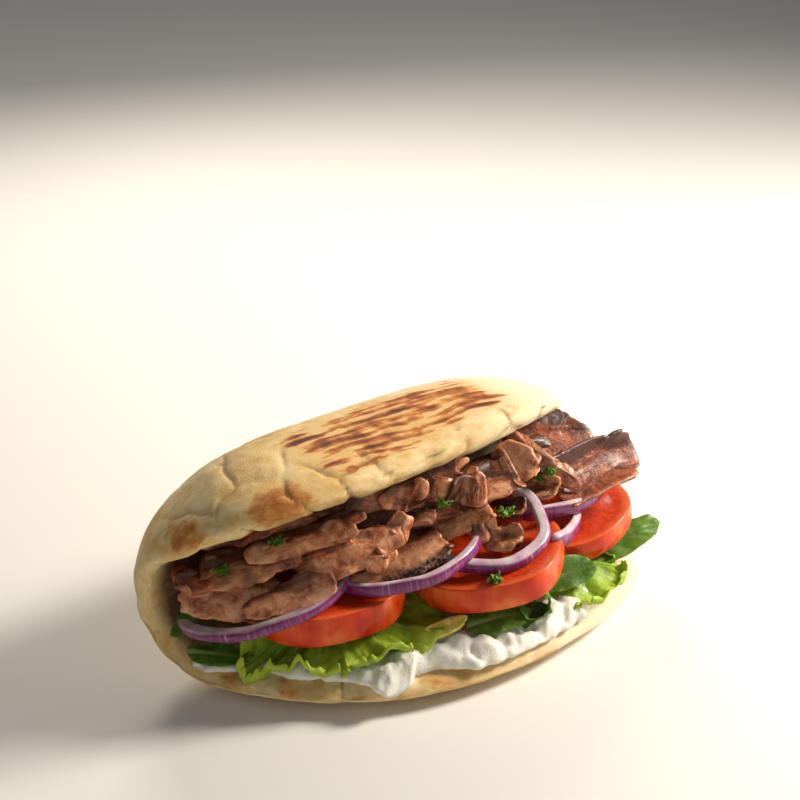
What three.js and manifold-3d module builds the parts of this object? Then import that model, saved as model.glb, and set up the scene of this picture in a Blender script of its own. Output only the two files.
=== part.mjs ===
// A doner kebab sandwich: one oval flatbread folded in half round a filling of
// garlic sauce, lettuce, tomato slices, red onion rings and carved meat.
// Millimetres, +Z up. The bread rests on the flat underside of its lower half, the fold runs
// along X at the back (+Y), and the mouth faces -Y.

import * as THREE from 'three';
import { mergeVertices } from 'three/addons/utils/BufferGeometryUtils.js';
import Module from 'manifold-3d';

const wasm = await Module();
wasm.setup();

const GAP = 0.3; // clear space between two pieces that touch
const DEG = Math.PI / 180;

// ---------------------------------------------------------------- driving dimensions

const BREAD = {
  length: 205, // along the fold
  lowerReach: 103, // from the middle of the fold to the lower rim, along the bread
  upperReach: 84,
  lowerPower: 2.4, // outline power: 2 would be an ellipse
  upperPower: 3.2,
  lowerSkew: 21.5, // the lower rim sits this much further towards +X
  upperSkew: -6,
  lowerThickness: 13,
  upperThickness: 20,
  foldRadius: 25, // of the bread's middle layer
  foldTaper: -0.14, // the fold is tighter at its +X end
  mouthAngle: 34.5 * DEG, // slope of the upper half where it leaves the fold
  mouthTwist: 3.5 * DEG, // more at the +X end, less at the other
  lift: 0.045 * DEG, // how fast that slope steepens, per millimetre
  endRise: 6, // the upper half's ends stand this much higher
  puff: 22, // how far the upper half's outer face domes
  bow: 15, // how far its inner face follows
  fromMiddle: [-6.2, 13.3], // where the fold starts, in plan
};
const CUSHION = { pitch: 26, rise: 1.1, crease: 2.0, creaseWidth: 2.6 };
const TOMATO = { radius: 32, thickness: 10.5 };
const ONION = { wall: 2.8, height: 6.2 };
const LEAF_THICKNESS = 1.3;
const HERB = { reach: 1.7, thickness: 0.5 };

// ---------------------------------------------------------------- small maths

const clamp = (value, low, high) => Math.min(high, Math.max(low, value));
const smooth = (value) => {
  const t = clamp(value, 0, 1);
  return t * t * (3 - 2 * t);
};
const signedPower = (value, power) => Math.sign(value) * Math.abs(value) ** power;
const hash = (i, j) => {
  const v = Math.sin(i * 12.9898 + j * 78.233) * 43758.5453;
  return v - Math.floor(v);
};

// Distance from (x, y) to its nearest and second-nearest cell centre on a jittered grid.
function cellDistances(x, y, pitch) {
  const column = Math.floor(x / pitch);
  const row = Math.floor(y / pitch);
  let nearest = Infinity;
  let second = Infinity;
  for (let i = column - 1; i <= column + 1; i++) {
    for (let j = row - 1; j <= row + 1; j++) {
      const centreX = (i + 0.2 + 0.6 * hash(i, j)) * pitch;
      const centreY = (j + 0.2 + 0.6 * hash(j + 31, i)) * pitch;
      const distance = Math.hypot(x - centreX, y - centreY);
      if (distance < nearest) {
        second = nearest;
        nearest = distance;
      } else if (distance < second) {
        second = distance;
      }
    }
  }
  return [nearest, second];
}

// ---------------------------------------------------------------- solids

// A closed lens-shaped body from two faces that meet at the rim, both split alike.
// face(r, angle, side) gives a point, with r from 0 at the middle to 1 at the rim and side
// +1 for the upper face, -1 for the lower one and 0 at the rim.
function twoFaced(face, rings, spokes) {
  const points = [face(0, 0, 1), face(0, 0, -1)];
  const triangles = [];
  const upper = [];
  const lower = [];
  rings.forEach((r, k) => {
    const isRim = k === rings.length - 1;
    upper.push([]);
    lower.push([]);
    for (let s = 0; s < spokes; s++) {
      const angle = (s / spokes) * 2 * Math.PI;
      upper[k].push(points.push(face(r, angle, isRim ? 0 : 1)) - 1);
      lower[k].push(isRim ? upper[k][s] : points.push(face(r, angle, -1)) - 1);
    }
  });
  for (let s = 0; s < spokes; s++) {
    const n = (s + 1) % spokes;
    triangles.push(0, upper[0][s], upper[0][n]);
    triangles.push(1, lower[0][n], lower[0][s]);
    for (let k = 1; k < rings.length; k++) {
      triangles.push(upper[k - 1][s], upper[k][s], upper[k][n]);
      triangles.push(upper[k - 1][s], upper[k][n], upper[k - 1][n]);
      triangles.push(lower[k - 1][s], lower[k][n], lower[k][s]);
      triangles.push(lower[k - 1][s], lower[k - 1][n], lower[k][n]);
    }
  }
  return solidFrom(points, triangles);
}

// A tube of a many-sided section along a path of frames, closed into a ring or capped.
function swept(sectionAt, steps, sides, isRing) {
  const points = [];
  const triangles = [];
  const rows = isRing ? steps : steps + 1;
  for (let k = 0; k < rows; k++) {
    points.push(...sectionAt(k / steps));
  }
  for (let k = 0; k < steps; k++) {
    const here = k * sides;
    const next = ((k + 1) % rows) * sides;
    for (let s = 0; s < sides; s++) {
      const t = (s + 1) % sides;
      triangles.push(here + s, next + s, next + t);
      triangles.push(here + s, next + t, here + t);
    }
  }
  if (!isRing) {
    const last = (rows - 1) * sides;
    for (let s = 1; s < sides - 1; s++) {
      triangles.push(0, s, s + 1);
      triangles.push(last, last + s + 1, last + s);
    }
  }
  return solidFrom(points, triangles);
}

function solidFrom(points, triangles) {
  const geometry = new THREE.BufferGeometry();
  const coordinates = points.flatMap((point) => point.toArray());
  geometry.setAttribute('position', new THREE.Float32BufferAttribute(coordinates, 3));
  geometry.setIndex(triangles);
  const merged = mergeVertices(geometry, 1e-4);
  const vertProperties = Float32Array.from(merged.attributes.position.array);
  const triVerts = Uint32Array.from(merged.index.array);
  const solid = new wasm.Manifold(new wasm.Mesh({ numProp: 3, vertProperties, triVerts }));
  return solid.volume() < 0 ? solidFrom(points, flipped(triangles)) : solid;
}

function flipped(triangles) {
  const out = [];
  for (let k = 0; k < triangles.length; k += 3) {
    out.push(triangles[k], triangles[k + 2], triangles[k + 1]);
  }
  return out;
}

function biggestBody(solid) {
  const bodies = solid.decompose();
  return bodies.reduce((best, body) => (body.volume() > best.volume() ? body : best));
}

// ---------------------------------------------------------------- the folded flatbread

// The point of the bread's middle layer at x along the fold and s along the bread (0 in the
// middle of the fold, negative towards the lower rim), moved out by lift along the outward normal.
function foldedPoint(x, s, lift) {
  const q = x / (BREAD.length / 2);
  const radius = BREAD.foldRadius * (1 + BREAD.foldTaper * q);
  const mouth = BREAD.mouthAngle + BREAD.mouthTwist * q;
  const sweep = Math.PI - mouth;
  const along = s + (sweep * radius) / 2;
  const turn = clamp(along / radius, 0, sweep);
  const upper = Math.max(0, along - sweep * radius);
  const slope = mouth + BREAD.lift * upper;
  let inwards = -radius * Math.sin(turn);
  let z = BREAD.lowerThickness / 2 + radius * (1 - Math.cos(turn));
  let tangentY = -Math.cos(turn);
  let tangentZ = Math.sin(turn);
  if (along < 0) {
    inwards = -along;
    tangentY = -1;
    tangentZ = 0;
  }
  if (upper > 0) {
    inwards += (Math.sin(slope) - Math.sin(mouth)) / BREAD.lift;
    z += (Math.cos(mouth) - Math.cos(slope)) / BREAD.lift;
    tangentY = Math.cos(slope);
    tangentZ = Math.sin(slope);
  }
  z += BREAD.endRise * q * q * smooth(upper / 60);
  const [startX, startY] = BREAD.fromMiddle;
  return new THREE.Vector3(x + startX, startY - inwards + tangentZ * lift, z + tangentY * lift);
}

// Where disc radius r and angle land on the flat oval that the bread was before folding.
function breadOutline(r, angle, grow) {
  const isLower = Math.sin(angle) < 0;
  const power = 2 / (isLower ? BREAD.lowerPower : BREAD.upperPower);
  const across = signedPower(Math.sin(angle), power) * r;
  const reach = isLower ? BREAD.lowerReach : BREAD.upperReach;
  const skew = isLower ? -BREAD.lowerSkew : BREAD.upperSkew;
  const x = (BREAD.length / 2 + grow) * signedPower(Math.cos(angle), power) * r + skew * across;
  return { x, s: (reach + grow) * across, across };
}

function breadLift(r, across, s, side, grow, x) {
  const toUpper = smooth((s + 20) / 40);
  const thickness = THREE.MathUtils.lerp(BREAD.lowerThickness, BREAD.upperThickness, toUpper);
  const half = (thickness / 2) * Math.sqrt(Math.max(0, 1 - r ** 8));
  const arch = 4 * clamp(across, 0, 1) * (1 - clamp(across, 0, 1)) * (1 - r ** 4);
  if (side <= 0) {
    return side * (half + grow) + BREAD.bow * arch * (side < 0 ? 1 : 0);
  }
  const [nearest, second] = cellDistances(x, s, CUSHION.pitch);
  const edge = (second - nearest) / CUSHION.creaseWidth;
  const relief = CUSHION.rise * (1 - nearest / CUSHION.pitch) - CUSHION.crease * Math.exp(-edge * edge);
  const onTop = smooth((s + 45) / 20) * smooth((1 - r) / 0.06) * smooth((r - 0.25) / 0.3);
  return half + grow + BREAD.puff * arch + relief * onTop;
}

function breadSolid(grow, rings, spokes) {
  return twoFaced((r, angle, side) => {
    const { x, s, across } = breadOutline(r, angle, grow);
    const point = foldedPoint(x, s, breadLift(r, across, s, side, grow, x));
    const footLevel = 0.6;
    if (grow === 0 && side > 0 && point.z < footLevel) {
      point.z = 0;
    }
    return point;
  }, rings, spokes);
}

const BREAD_RINGS = [0.14, 0.28, 0.41, 0.53, 0.64, 0.74, 0.83, 0.9, 0.95, 0.98, 1];
const BREAD_SPOKES = 56;
const bread = breadSolid(0, BREAD_RINGS, BREAD_SPOKES);
const breadGrown = breadSolid(GAP, BREAD_RINGS, BREAD_SPOKES);

// ---------------------------------------------------------------- filling pieces

// A frame on a tilted plane: heading in plan, climb along it, lean about it.
function placement({ at, heading = 0, climb = 0, lean = 0 }) {
  const turn = new THREE.Euler(lean * DEG, -climb * DEG, heading * DEG, 'ZYX');
  return new THREE.Matrix4().makeRotationFromEuler(turn).setPosition(...at);
}

function slopePlacement({ at, slopeX, slopeY }) {
  const normal = new THREE.Vector3(-slopeX, -slopeY, 1).normalize();
  const turn = new THREE.Quaternion().setFromUnitVectors(new THREE.Vector3(0, 0, 1), normal);
  return new THREE.Matrix4().makeRotationFromQuaternion(turn).setPosition(...at);
}

// A tomato slice: flat cut faces and a slightly bulging, slightly lobed skin.
function tomatoSolid(spec, grow) {
  const matrix = slopePlacement(spec);
  const radius = TOMATO.radius * (spec.size ?? 1) + grow;
  const half = (spec.thickness ?? TOMATO.thickness) / 2 + grow;
  const face = (r, angle, side) => {
    const lobe = 1 + 0.018 * Math.cos(5 * angle + spec.phase) + 0.012 * Math.cos(2 * angle - spec.phase);
    const reach = radius * lobe * r;
    const point = new THREE.Vector3(reach * Math.cos(angle), reach * Math.sin(angle), side * half);
    return point.applyMatrix4(matrix);
  };
  return withHerbs(twoFaced(face, [0.955, 1], 30), face, spec.herbs, grow);
}

// An onion ring, or an arc of one: a band with a bulging outer side, gently warped.
function onionSolid(spec, grow) {
  const matrix = slopePlacement(spec);
  const isRing = spec.from === undefined;
  const from = (spec.from ?? 0) * DEG;
  const sweep = ((spec.to ?? 360) - (spec.from ?? 0)) * DEG;
  const steps = Math.round(26 * (sweep / (2 * Math.PI)));
  const wall = ONION.wall + 2 * grow;
  const height = ONION.height * (spec.tall ?? 1) + 2 * grow;
  const section = [
    [0, 0],
    [-wall, 0.04],
    [-wall, 0.96],
    [0, 1],
    [0.5, 0.5],
  ];
  return swept((t) => {
    const angle = from + t * sweep;
    const radius = spec.radius * (1 + 0.05 * Math.cos(2 * angle + spec.phase)) + grow;
    const warp = 1.1 * Math.sin(2 * angle + spec.phase * 2);
    return section.map(([inwards, level]) => {
      const reach = radius + inwards;
      const rise = warp + level * height - grow;
      return new THREE.Vector3(reach * Math.cos(angle), reach * Math.sin(angle), rise).applyMatrix4(matrix);
    });
  }, steps, section.length, isRing);
}

// A slice carved off the spit: an uneven oval, bent along and across, with a ripple.
function slicePoint(spec, r, angle, side, grow) {
  const { length, width, thickness = 4.5, bend = 0, curl = 0, ripple = 1.2, taper = 0, phase = 0 } = spec;
  const uneven = 1 + 0.07 * Math.sin(3 * angle + phase) + 0.05 * Math.sin(5 * angle + 2.3 * phase);
  const u = (length / 2 + grow) * uneven * r * signedPower(Math.cos(angle), 0.8);
  const narrowing = 1 - taper * (0.5 + u / length);
  const v = (width / 2 + grow) * uneven * narrowing * r * signedPower(Math.sin(angle), 0.8);
  const fullness = Math.sqrt(Math.max(0, 1 - r ** 5));
  const wave = ripple * Math.sin(u / 9 + phase) * Math.cos(v / 11 + phase);
  const lift = side * ((thickness / 2) * fullness + grow) + wave;
  return bentPoint(u, v, lift, length, width, bend, curl).applyMatrix4(placement(spec));
}

function sliceSolid(spec, grow) {
  const face = (r, angle, side) => slicePoint(spec, r, angle, side, grow);
  return withHerbs(twoFaced(face, [0.45, 0.85, 1], spec.sides ?? 15), face, spec.herbs, grow);
}

// Flecks of chopped parsley, each fused to a body where its upper face has that r and angle.
function withHerbs(body, face, herbs = [], grow = 0) {
  return herbs.reduce((whole, [r, angle]) => whole.add(herbSolid(face(r, angle * DEG, 1), grow)), body);
}

function herbSolid(centre, grow) {
  const reach = HERB.reach + grow;
  return twoFaced((r, angle, side) => {
    const outline = new THREE.Vector3(r * Math.cos(angle), r * Math.sin(angle), side * HERB.thickness);
    return outline.multiplyScalar(reach).add(centre);
  }, [1], 5);
}

// A point (u, v, lift) of a flat sheet after bending it along u and curling it along v.
function bentPoint(u, v, lift, length, width, bend, curl) {
  let y = v;
  let z = lift;
  if (Math.abs(curl) > 1) {
    const radius = width / (curl * DEG);
    y = (radius - lift) * Math.sin(v / radius);
    z = radius - (radius - lift) * Math.cos(v / radius);
  }
  if (Math.abs(bend) <= 1) {
    return new THREE.Vector3(u, y, z);
  }
  const radius = length / (bend * DEG);
  const turn = u / radius;
  return new THREE.Vector3((radius - z) * Math.sin(turn), y, radius - (radius - z) * Math.cos(turn));
}

// A lettuce or rocket leaf: thin, wavy, with frills that grow towards the rim.
function leafSolid(spec, grow) {
  const matrix = placement(spec);
  const { length, width, bend = 0, curl = 0, frill = 2.5, frills = 7, phase = 0, point = 0 } = spec;
  return twoFaced((r, angle, side) => {
    const tip = 1 - point * smooth(Math.cos(angle)) * 0.5 * Math.abs(Math.sin(angle));
    const lobe = 1 + 0.05 * Math.sin(frills * angle + phase * 2);
    const u = (length / 2 + grow) * r * lobe * Math.cos(angle);
    const v = (width / 2 + grow) * r * lobe * tip * Math.sin(angle);
    const wave = frill * r ** 3 * Math.sin(frills * angle + phase) + 0.8 * Math.sin(u / 8 + phase) * r;
    const half = LEAF_THICKNESS / 2 + grow;
    const lift = wave + side * half * Math.sqrt(Math.max(0, 1 - r ** 10));
    return bentPoint(u, v, lift, length, width, bend, curl).applyMatrix4(matrix);
  }, [0.45, 0.8, 1], spec.sides ?? 24);
}

const TOMATOES = {
  tomato_slice_left: {
    at: [-48.3, 8.6, 28.4], slopeX: 0.0, slopeY: -0.07,
    thickness: 11.5, phase: 0.4,
  },
  tomato_slice_middle: {
    at: [8.2, -21.6, 31.9], slopeX: 0.1, slopeY: -0.11,
    phase: 2.1, herbs: [[0.88, -126]],
  },
  tomato_slice_right: {
    at: [58, -14.5, 28.3], slopeX: 0.13, slopeY: -0.05,
    thickness: 9, phase: 4.0,
  },
};

const ONIONS = {
  onion_ring_left: { at: [-65, 19.5, 31.5], slopeX: 0.2, slopeY: -0.19, radius: 34.5, phase: 0.5 },
  onion_ring_middle: {
    at: [-22.8, -3.6, 37.8], slopeX: 0.05, slopeY: -0.15,
    radius: 31.6, phase: 1.6,
  },
  onion_ring_upright: {
    at: [9.3, -18.3, 43.4], slopeX: 0.25, slopeY: 0.15,
    radius: 26.3, phase: 3.1,
  },
  onion_arc_right: {
    at: [51.9, -2.8, 42], slopeX: 0.03, slopeY: 0,
    radius: 35.4, phase: 0.2, from: -138, to: -18,
  },
  onion_arc_short: {
    at: [27.1, -14.8, 38.8], slopeX: -0.05, slopeY: 0,
    radius: 30.1, phase: 0, from: -82, to: -22,
  },
};

const LEAVES = {
  lettuce_left: {
    at: [-46, -4, 19.3], heading: -24, climb: 1, lean: 6,
    length: 84, width: 48, frill: 2.4, frills: 9,
  },
  lettuce_right: {
    at: [40, -28, 19], heading: 4, lean: 6,
    length: 78, width: 46, frill: 2.2, frills: 8, phase: 2,
  },
  leaf_long: {
    at: [52, -43, 22.5], climb: 4, lean: 12,
    length: 82, width: 18, frill: 0.5, frills: 4, point: 1, sides: 18,
  },
  leaf_rolled: {
    at: [-2, -46, 21.5], heading: -8, climb: 3, lean: 20,
    length: 34, width: 20, curl: 170, frill: 0.4, sides: 18,
  },
  leaf_low: {
    at: [-90, 9, 15.6], heading: -62, lean: 8,
    length: 40, width: 20, frill: 0.6, frills: 5, point: 1, sides: 16,
  },
  leaf_end: {
    at: [-97, 34, 26], heading: -75, lean: 55,
    length: 28, width: 14, frill: 0.6, frills: 4, sides: 14,
  },
  leaf_inner: {
    at: [-84, 22, 33], heading: -30, lean: 20,
    length: 28, width: 16, frill: 0.6, frills: 5, sides: 16,
  },
};

const SLICES = {
  meat_slice_01: {
    at: [-81, 9, 43], heading: -36, climb: 2, lean: 24,
    length: 50, width: 27, curl: -40, phase: 0.3,
  },
  meat_slice_02: {
    at: [-81, 12, 52], heading: -30, climb: 4, lean: 35,
    length: 33, width: 22, phase: 1.4, herbs: [[0.5, 200]],
  },
  meat_slice_03: {
    at: [-60, 4, 57], heading: -22, climb: 8, lean: 42,
    length: 42, width: 15, phase: 2.2, herbs: [[0.4, 170]],
  },
  meat_slice_04: {
    at: [-34, 2, 64.5], heading: -18, climb: 7, lean: 62,
    length: 82, width: 17, thickness: 4, phase: 3.1,
  },
  meat_slice_05: {
    at: [-53, -9, 49], heading: -26, climb: 10, lean: 38,
    length: 46, width: 21, phase: 0.9, herbs: [[0.6, 150]],
  },
  meat_slice_06: {
    at: [-31, -12, 59], heading: 10, climb: 0, lean: 60,
    length: 17, width: 20, curl: 150, phase: 2,
  },
  meat_slice_07: {
    at: [-44, -17, 49], heading: -60, climb: 40, lean: 20,
    length: 18, width: 9, thickness: 6, sides: 14,
  },
  meat_slice_08: {
    at: [-30, -17, 46], heading: -18, climb: 12, lean: 30,
    length: 38, width: 20, phase: 4.4, herbs: [[0.5, 160]],
  },
  meat_slice_09: {
    at: [-14, -13, 67], heading: -12, climb: 10, lean: 62,
    length: 34, width: 14, phase: 5.1,
  },
  meat_slice_10: {
    at: [0, -17, 61], heading: 20, climb: 0, lean: 50,
    length: 17, width: 15, thickness: 6, sides: 14, herbs: [[0.6, 230]],
  },
  meat_slice_11: {
    at: [14, -19, 62], heading: -20, climb: 20, lean: 40,
    length: 21, width: 18, curl: 60, phase: 1,
  },
  meat_slice_12: {
    at: [0, -23, 52], heading: 0, climb: 8, lean: 45,
    length: 34, width: 18, phase: 2.5, herbs: [[0.4, 60]],
  },
  meat_slice_13: {
    at: [26, -17, 66], heading: -35, climb: -10, lean: 65,
    length: 24, width: 17, curl: 50, phase: 3,
  },
  meat_slice_14: {
    at: [41, -18, 62], heading: -62, climb: -32, lean: 70,
    length: 40, width: 11, bend: -50, phase: 1,
  },
  meat_slice_15: {
    at: [65, -27, 51], heading: -5, climb: 0, lean: 45,
    length: 46, width: 24, curl: 60, phase: 0.7,
  },
  meat_slice_16: {
    at: [63, -6, 58], heading: -25, climb: -10, lean: 40,
    length: 42, width: 26, curl: 30, phase: 2.9,
  },
  meat_slice_17: {
    at: [38, -19, 51], heading: -10, climb: 5, lean: 40,
    length: 20, width: 14, phase: 5.5, sides: 14, herbs: [[0.4, 90]],
  },
  meat_slice_18: {
    at: [9, -31, 43], heading: -30, climb: 10, lean: 30,
    length: 16, width: 16, thickness: 7, phase: 1, sides: 14,
  },
  meat_slice_19: {
    at: [78, 8, 48], heading: 70, climb: 0, lean: -40,
    length: 40, width: 22, curl: 30, phase: 4,
  },
  meat_slice_20: {
    at: [84, 14, 30], heading: 62, climb: 0, lean: -62,
    length: 34, width: 20, phase: 1.9,
  },
};

// The heap of small trimmings that the slices lie on, out to the wall of the fold.
const HEAP = {
  halfLength: 84,
  middleX: 4,
  // Its front face at foot and brink, and how far round the fold its back reaches there: over
  // the tomato at the -X end, and behind the other two tomatoes.
  over: { footY: 28, footZ: 40, footFold: 2, brinkY: 12, brinkZ: 52, brinkFold: 44 },
  behind: { footY: 17.5, footZ: 15, footFold: -24, brinkY: -9, brinkZ: 62, brinkFold: 62 },
  wallDepth: [8.5, 7.5], // from the bread's middle layer, at its foot and its top
};

function heapSolid(spec, grow) {
  return twoFaced((r, angle, side) => {
    const u = signedPower(Math.cos(angle), 0.5) * r;
    const level = (signedPower(Math.sin(angle), 0.5) * r + 1) / 2;
    const x = spec.middleX + (spec.halfLength + grow) * u;
    const behind = smooth((x + 45) / 35);
    const at = (key) => THREE.MathUtils.lerp(spec.over[key], spec.behind[key], behind);
    const roundFold = THREE.MathUtils.lerp(at('footFold'), at('brinkFold'), level);
    const depth = THREE.MathUtils.lerp(...spec.wallDepth, smooth(2 * level));
    const wall = foldedPoint(x - BREAD.fromMiddle[0], roundFold, -depth);
    const frontY = THREE.MathUtils.lerp(at('footY'), at('brinkY'), smooth((level - 0.42) / 0.2));
    const front = new THREE.Vector3(x, frontY, THREE.MathUtils.lerp(at('footZ'), at('brinkZ'), level));
    return wall.lerp(front, 0.5 + 0.5 * side * Math.sqrt(Math.max(0, 1 - r ** 12)));
  }, [0.5, 0.93, 1], 16);
}

// A strip of yellow pepper caught between the tomatoes and the sauce.
const PEPPER = {
  at: [-26, -35, 22], heading: -20, climb: 4, lean: 30,
  length: 17, width: 6, thickness: 3.5, sides: 12,
};

// Garlic sauce, spread thick over the lower half and squeezed out in lobes at the rim.
const SAUCE = {
  middle: [4, -16],
  backY: 8,
  level: 15.5,
  clearance: 0.8,
  reachAtRim: 0.98,
  reachAtEnd: 0.84,
  backHalfLength: 88,
  endY: 12,
  rimShare: 0.42, // the share of the bread's own radius that its outline spans
  lump: 3.6,
  drip: { angle: -126 * DEG, width: 0.09, reach: 0.03, fall: 6 },
};

// Where the sauce's outline would be if it reached right to the bread's rim.
function sauceLimit(spec, angle) {
  if (angle < 0) {
    const { x, s } = breadOutline(1, angle, 0);
    return foldedPoint(x, s, 0);
  }
  const x = spec.middle[0] + spec.backHalfLength * signedPower(Math.cos(angle), 0.5);
  return new THREE.Vector3(x, THREE.MathUtils.lerp(spec.endY, spec.backY, Math.sin(angle)), 0);
}

function sauceSolid(spec, grow) {
  const [middleX, middleY] = spec.middle;
  return twoFaced((r, turn, side) => {
    const angle = turn > Math.PI ? turn - 2 * Math.PI : turn;
    const drip = Math.exp(-(((angle - spec.drip.angle) / spec.drip.width) ** 2));
    const lobed = 0.012 * Math.sin(9 * angle) + 0.008 * Math.sin(14 * angle + 1);
    const alongRim = smooth((0.5 - Math.cos(angle)) / 0.6);
    const reach = THREE.MathUtils.lerp(spec.reachAtEnd, spec.reachAtRim, alongRim);
    const spread = reach + lobed + spec.drip.reach * drip;
    const limit = sauceLimit(spec, angle);
    const x = middleX + r * spread * (limit.x - middleX);
    const y = middleY + r * spread * (limit.y - middleY);
    const swell = 0.5 + 0.5 * Math.sin(x / 4.5 + 1) * Math.cos(y / 5 + x / 9);
    const lump = spec.lump * smooth((r - 0.6) / 0.2) * swell;
    const fullness = Math.sqrt(Math.max(0, 1 - r ** 8));
    // The underside follows the lower half's inner face as it rounds off towards the rim.
    const breadR = clamp(1 - spec.rimShare * (1 - r * spread), 0, 1);
    const breadTop = (BREAD.lowerThickness / 2) * (1 + Math.sqrt(1 - breadR ** 8));
    const under = breadTop + spec.clearance - spec.drip.fall * drip * r ** 8;
    const top = under + (spec.level + lump + grow - under) * fullness;
    return new THREE.Vector3(x, y, side > 0 ? top : under - grow);
  }, [0.5, 0.8, 0.93, 1], 34);
}

// ---------------------------------------------------------------- assembly

const COLOURS = {
  bread: 0xd9b77e,
  sauce: 0xf3f0e4,
  tomato: 0xd2391c,
  onion: 0x9c4f7f,
  leaf: 0x6f9a2c,
  pepper: 0xd9b53a,
  meat: 0x8f5540,
};

const sandwich = new THREE.Group();
const placed = [];

function addPiece(name, kind, solid, grown, roughness) {
  const mesh = solid.getMesh();
  const geometry = new THREE.BufferGeometry();
  geometry.setAttribute('position', new THREE.BufferAttribute(mesh.vertProperties, 3));
  geometry.setIndex(new THREE.BufferAttribute(mesh.triVerts, 1));
  const material = new THREE.MeshStandardMaterial({ color: COLOURS[kind], roughness, metalness: 0 });
  const piece = new THREE.Mesh(geometry, material);
  piece.name = name;
  sandwich.add(piece);
  placed.push({ grown, box: grown.boundingBox() });
}

function boxesMeet(a, b) {
  return [0, 1, 2].every((axis) => a.min[axis] < b.max[axis] && b.min[axis] < a.max[axis]);
}

// Cuts away what reaches into the pieces already in place, with the gap left round them.
function fitted(solid) {
  const box = solid.boundingBox();
  const neighbours = placed.filter((other) => boxesMeet(box, other.box));
  const cut = neighbours.reduce((rest, other) => rest.subtract(other.grown), solid);
  return biggestBody(cut);
}

function addFitted(name, kind, make, spec, roughness) {
  addPiece(name, kind, fitted(make(spec, 0)), make(spec, GAP), roughness);
}

addPiece('bread', 'bread', bread, breadGrown, 0.85);
for (const [name, spec] of Object.entries(TOMATOES)) {
  addFitted(name, 'tomato', tomatoSolid, spec, 0.35);
}
for (const [name, spec] of Object.entries(ONIONS)) {
  addFitted(name, 'onion', onionSolid, spec, 0.35);
}
for (const [name, spec] of Object.entries(LEAVES)) {
  addFitted(name, 'leaf', leafSolid, spec, 0.5);
}
addFitted('pepper_strip', 'pepper', sliceSolid, PEPPER, 0.35);
addFitted('garlic_sauce', 'sauce', sauceSolid, SAUCE, 0.4);
for (const [name, spec] of Object.entries(SLICES)) {
  addFitted(name, 'meat', sliceSolid, spec, 0.6);
}
addFitted('meat_heap', 'meat', heapSolid, HEAP, 0.6);

// The origin is on the ground under the middle of the sandwich.
const middle = new THREE.Box3().setFromObject(sandwich).getCenter(new THREE.Vector3());
for (const piece of sandwich.children) {
  piece.geometry.translate(-middle.x, -middle.y, 0);
}

export default sandwich;
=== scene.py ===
import itertools
import math

import bpy
import numpy as np
from mathutils import Matrix, Vector


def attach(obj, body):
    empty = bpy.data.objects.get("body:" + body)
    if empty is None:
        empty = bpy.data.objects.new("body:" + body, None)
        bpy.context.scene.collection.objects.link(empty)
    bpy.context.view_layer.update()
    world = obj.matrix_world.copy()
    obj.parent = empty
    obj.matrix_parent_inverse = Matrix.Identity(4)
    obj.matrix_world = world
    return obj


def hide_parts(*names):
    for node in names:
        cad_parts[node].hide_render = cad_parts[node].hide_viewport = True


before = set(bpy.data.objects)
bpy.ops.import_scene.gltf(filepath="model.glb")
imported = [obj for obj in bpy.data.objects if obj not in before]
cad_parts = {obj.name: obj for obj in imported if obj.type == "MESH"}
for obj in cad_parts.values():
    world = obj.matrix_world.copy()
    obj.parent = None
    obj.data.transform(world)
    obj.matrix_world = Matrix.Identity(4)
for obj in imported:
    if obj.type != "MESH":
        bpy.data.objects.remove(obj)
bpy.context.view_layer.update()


# ------------------------------------------------------------------ the folded flatbread
# One oval of leavened wheat dough, baked on a hot stone so that it puffs into cushions between
# creases, then pressed on a ridged grill that browns stripes into its top, and folded in half
# round the filling. Lengths are in millimetres, from the middle of the fold.

MM = 0.001
DEGREE = math.pi / 180
MIDDLE = (4.762, -0.665, 0)  # what carries the fold's middle to the sandwich's own

BREAD_LENGTH = 205
LOWER_REACH, UPPER_REACH = 103, 84  # from the middle of the fold to each rim
LOWER_THICKNESS, UPPER_THICKNESS = 13, 20
LOWER_SKEW, UPPER_SKEW = 21.5, -6
FOLD_RADIUS, FOLD_TAPER = 25, -0.14
MOUTH_ANGLE, MOUTH_TWIST = 34.5, 3.5  # degrees
LIFT = 0.045 * DEGREE  # how fast the upper half steepens, per millimetre
END_RISE = 6
PUFF, BOW = 22, 15
FOLD_START = (-6.2, 13.3)

CUSHION_PITCH = 24
CUSHION_RISE = 1.1
CREASE_DEPTH, CREASE_WIDTH = 1.1, 0.6
RIM_CUSHIONS = [
    (-99, 49), (-78, 44), (-60, 54), (-75, 73), (-57, 80), (-42, 87), (-17, 81), (1, 80), (21, 78),
    (46, 74), (66, 66), (-41, 68), (-112, 20), (-112, -2), (-99, -42), (-77, -68), (-58, -88),
    (-26, -98), (7, -100), (38, -96), (68, -84),
]
# Patches that the hot stone scorched: the middle, half width, half height and darkness of each.
SCORCHES = [
    ((-96, 51), 7, 10, 1.05), ((-73, 76), 14, 9, 1.3), ((-81, -63), 8, 5, 0.9), ((-94, -43), 8, 5, 0.9),
    ((-37, -99), 8, 5, 0.9), ((10, -100), 8, 5, 0.9), ((-70, 48), 9, 4, 0.65), ((-66, 56), 9, 4, 0.65),
    ((-46, 60), 9, 4, 0.65), ((-85, 41), 9, 4, 0.65), ((40, 78), 9, 4, 0.65),
]
RIM_BAND = 32  # near the rim the mesh is finer, for the creases
RIM_STEP, INNER_STEP = 0.66, 1.6
BREAD_SPOKES = 560
GROUND = 0.5  # the underside is pressed flat just above the floor
SCATTER_STEPS, SCATTER_STRETCH = (12.9898, 78.233, 37.719), 43758.5453  # any large uneven numbers


def smooth(value):
    t = np.clip(value, 0, 1)
    return t * t * (3 - 2 * t)


def signed_power(value, power):
    return np.sign(value) * np.abs(value) ** power


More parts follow.
